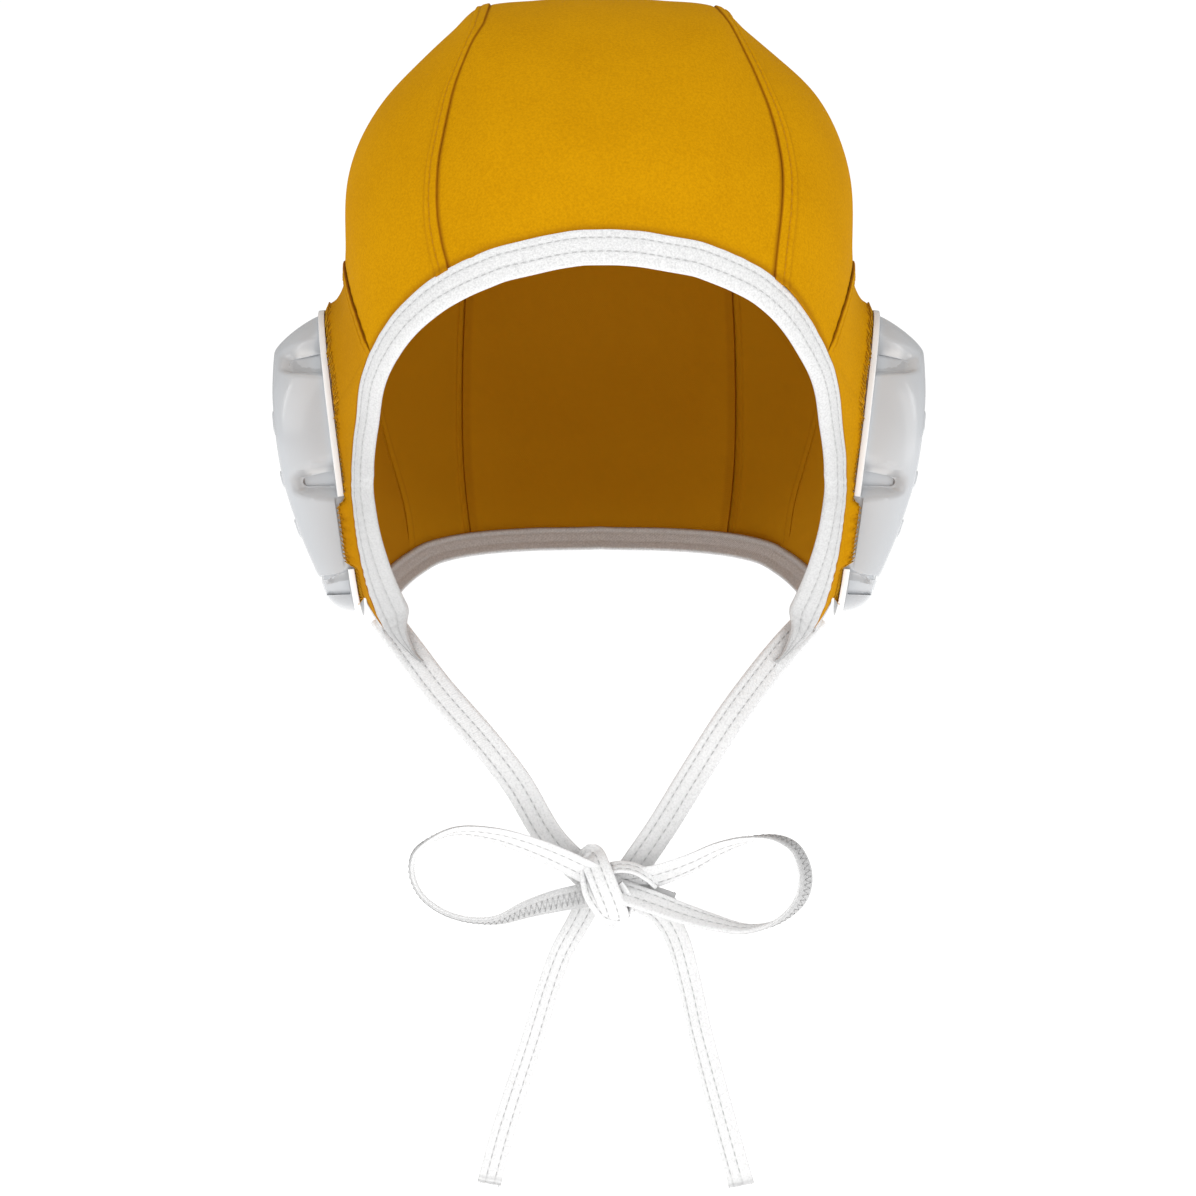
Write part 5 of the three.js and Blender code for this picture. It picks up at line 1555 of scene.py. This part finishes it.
# knot: a wrap over the front, with the loose folds that show beside it
def makeKnot():
    core = {"rows": 40, "around": 64, "share": 0.74}
    half = np.array([knot["wide"], knot["deep"], knot["tall"]]) / 2
    level = np.linspace(0.001, math.pi - 0.001, core["rows"])[:, None]
    around = np.linspace(0, 2 * math.pi, core["around"], endpoint=False)[None, :]
    ball = np.stack(np.broadcast_arrays(
        np.sin(level) * np.cos(around), np.sin(level) * np.sin(around), np.cos(level)), -1)
    points = (knotCentre + ball * half * core["share"]).reshape(-1, 3)
    faces = gridFaces(core["rows"], core["around"], True)
    lid = np.arange(0, core["around"], 2)
    top = np.stack([lid * 0, lid, lid + 1, (lid + 2) % core["around"]], -1)[1:-1]
    start = (core["rows"] - 1) * core["around"]
    faces = np.concatenate([faces, top[:, ::-1], top + start])
    marks = {
        "shade": np.full(len(points), 0.1), "inside": np.zeros(len(points)), "loose": np.ones(len(points)),
    }
    piece = makePiece("knotCore", points, facingOut(points, faces), whiteTape, points[:, [0, 2]], marks)
    finishPiece(piece, "white_tape", "bow_knot")

    # a band of the knot: places as shares of its half sizes, then how far it leans there, in degrees
    def band(name, places, leans, wide, thick, evenShade=0.0):
        route = np.array(places) * half + knotCentre
        looseTape(name, None, route, np.array(leans, float), tape["bandStations"], wide, thick, evenShade=evenShade)

    band("knotWrap", [
        (-0.3, 0.7, 0.6), (-0.5, 0.05, 0.92), (-0.42, -0.62, 0.86), (-0.22, -1.0, 0.48),
        (-0.02, -1.14, 0.05), (0.2, -1.1, -0.4), (0.38, -0.88, -0.8), (0.46, -0.4, -1.04),
        (0.4, 0.2, -0.95),
    ], (20, 14, 8, 2, 0, 0, -6, -14, -20), 8.0, 1.5)
    band("knotUnder", [
        (-0.4, 0.4, 0.75), (-0.56, -0.2, 0.72), (-0.58, -0.62, 0.3), (-0.46, -0.86, -0.2),
        (-0.16, -0.88, -0.6), (0.14, -0.66, -0.88), (0.3, 0, -0.9),
    ], (30, 36, 34, 28, 20, 10, 0), 6.6, 1.3)
    band("knotFold", [
        (0.45, -0.75, 0.0), (0.74, -0.66, -0.3), (0.92, -0.42, -0.62), (0.72, 0, -0.86), (0.35, 0.3, -0.8),
    ], (-20, -34, -46, -50, -50), 5.2, 1.2)
    band("knotArch", [
        (0.0, -0.4, 0.42), (0.4, -0.7, 0.6), (0.85, -0.72, 0.62), (1.3, -0.6, 0.52),
        (1.75, -0.35, 0.3), (2.05, 0, 0.1),
    ], (46, 48, 50, 50, 48, 44), 4.8, 1.2)
    # a band behind the right loop, painted almost all in shade
    band("knotBehind", [
        (0.5, 0.15, 0.0), (1.1, 0.1, -0.1), (1.7, 0.1, -0.22), (2.3, 0.1, -0.36), (2.75, 0.1, -0.5),
    ], (8, 8, 8, 8, 8), 4.4, 1.0, evenShade=0.95)


makeKnot()
print("knot made")


# sewing
stitches = {
    "cloth": {"Pitch": 2.4, "Length": 1.9, "Radius": 0.13},
    "tape": {"Pitch": 2.5, "Length": 1.7, "Radius": 0.2},
    "back": {"Pitch": 1.7, "Width": 5.2, "Radius": 0.14},
    "fringe": {"Spacing": 0.33, "Length": 1.3, "Radius": 0.06},
    "overlock": {"Pitch": 1.5, "Width": 3.4, "Radius": 0.2},
}
sew("clothStitches", runningStitch, stitches["cloth"], clothThread, "cap_cloth", sewnCloth)
sew("tapeStitches", runningStitch, stitches["tape"], tapeThread, "white_tape", tapeSewing)
sew("backStitches", zigzagStitch, stitches["back"], tapeThread, "white_tape", backLines, backSides)
sew("fringeThreads", fringeThreads, stitches["fringe"], whiteThread, "white_tape", fringeLines, fringeSides)
sew("overlockStitches", zigzagStitch, stitches["overlock"], overlockThread, "cap_cloth",
    zigzagLines, zigzagSides)
print("sewing made")


# floor and lights

capMiddle = (0, 0, -0.16)
# name, place, aim, width and height in metres, power in watts
studioLights = [
    ("keyLight", (-1.3, -2.0, 0.9), capMiddle, (1.8, 1.8), 12),
    ("fillLight", (1.6, -1.7, 0.2), capMiddle, (1.4, 2.0), 11),
    ("leftGlint", (-1.1, -0.9, 0.5), (-0.09, 0, -0.13), (0.22, 0.7), 0.9),
    ("rightGlint", (1.1, -0.9, 0.5), (0.09, 0, -0.13), (0.22, 0.7), 0.9),
    ("topLight", (0.0, -0.3, 1.8), capMiddle, (1.6, 1.6), 6),
]


def makeStage():
    size = {"floor": 8.0, "below": 0.05}
    lowest = min(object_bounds()[0][2], cadBox[0][2])
    low = lowest - size["below"]
    half = size["floor"]
    mesh = bpy.data.meshes.new("studioFloor")
    corners = [(-half, -half, low), (half, -half, low), (half, half, low), (-half, half, low)]
    mesh.from_pydata(corners, [], [(0, 1, 2, 3)])
    floor = addObject("studioFloor", mesh)
    material, nodes = newMaterial("studioPaint")
    finishMaterial(nodes, {
        "Base Color": (0.9, 0.9, 0.9, 1), "Roughness": 1.0, "Specular IOR Level": 0.0,
        "Emission Color": (1, 1, 1, 1), "Emission Strength": 0.8,
    })
    mesh.materials.append(material)


def makeLight(name, place, aim, size, power):
    light = bpy.data.lights.new(name, "AREA")
    light.shape = "RECTANGLE"
    light.size, light.size_y = size
    light.energy = power
    holder = addObject(name, light)
    holder.location = place
    holder.rotation_euler = (Vector(aim) - Vector(place)).to_track_quat("-Z", "Y").to_euler()


def makeWorld():
    strength = {"ambient": 0.46, "backdrop": 1.05}
    world = bpy.context.scene.world or bpy.data.worlds.new("studioWorld")
    bpy.context.scene.world = world
    world.use_nodes = True
    world.node_tree.nodes.clear()
    nodes = Nodes(world.node_tree)
    seen = nodes.wire("ShaderNodeLightPath", output="Is Camera Ray")
    ambient, backdrop = (
        nodes.wire("ShaderNodeBackground", None, {"Color": (1, 1, 1, 1), "Strength": strength[name]})
        for name in ("ambient", "backdrop"))
    nodes.node("ShaderNodeOutputWorld", None, {
        "Surface": nodes.wire("ShaderNodeMixShader", None, {0: seen, 1: ambient, 2: backdrop})})


makeStage()
for lightRow in studioLights:
    makeLight(*lightRow)
makeWorld()
bpy.context.scene.view_settings.view_transform = "Standard"
print("stage and lights made")
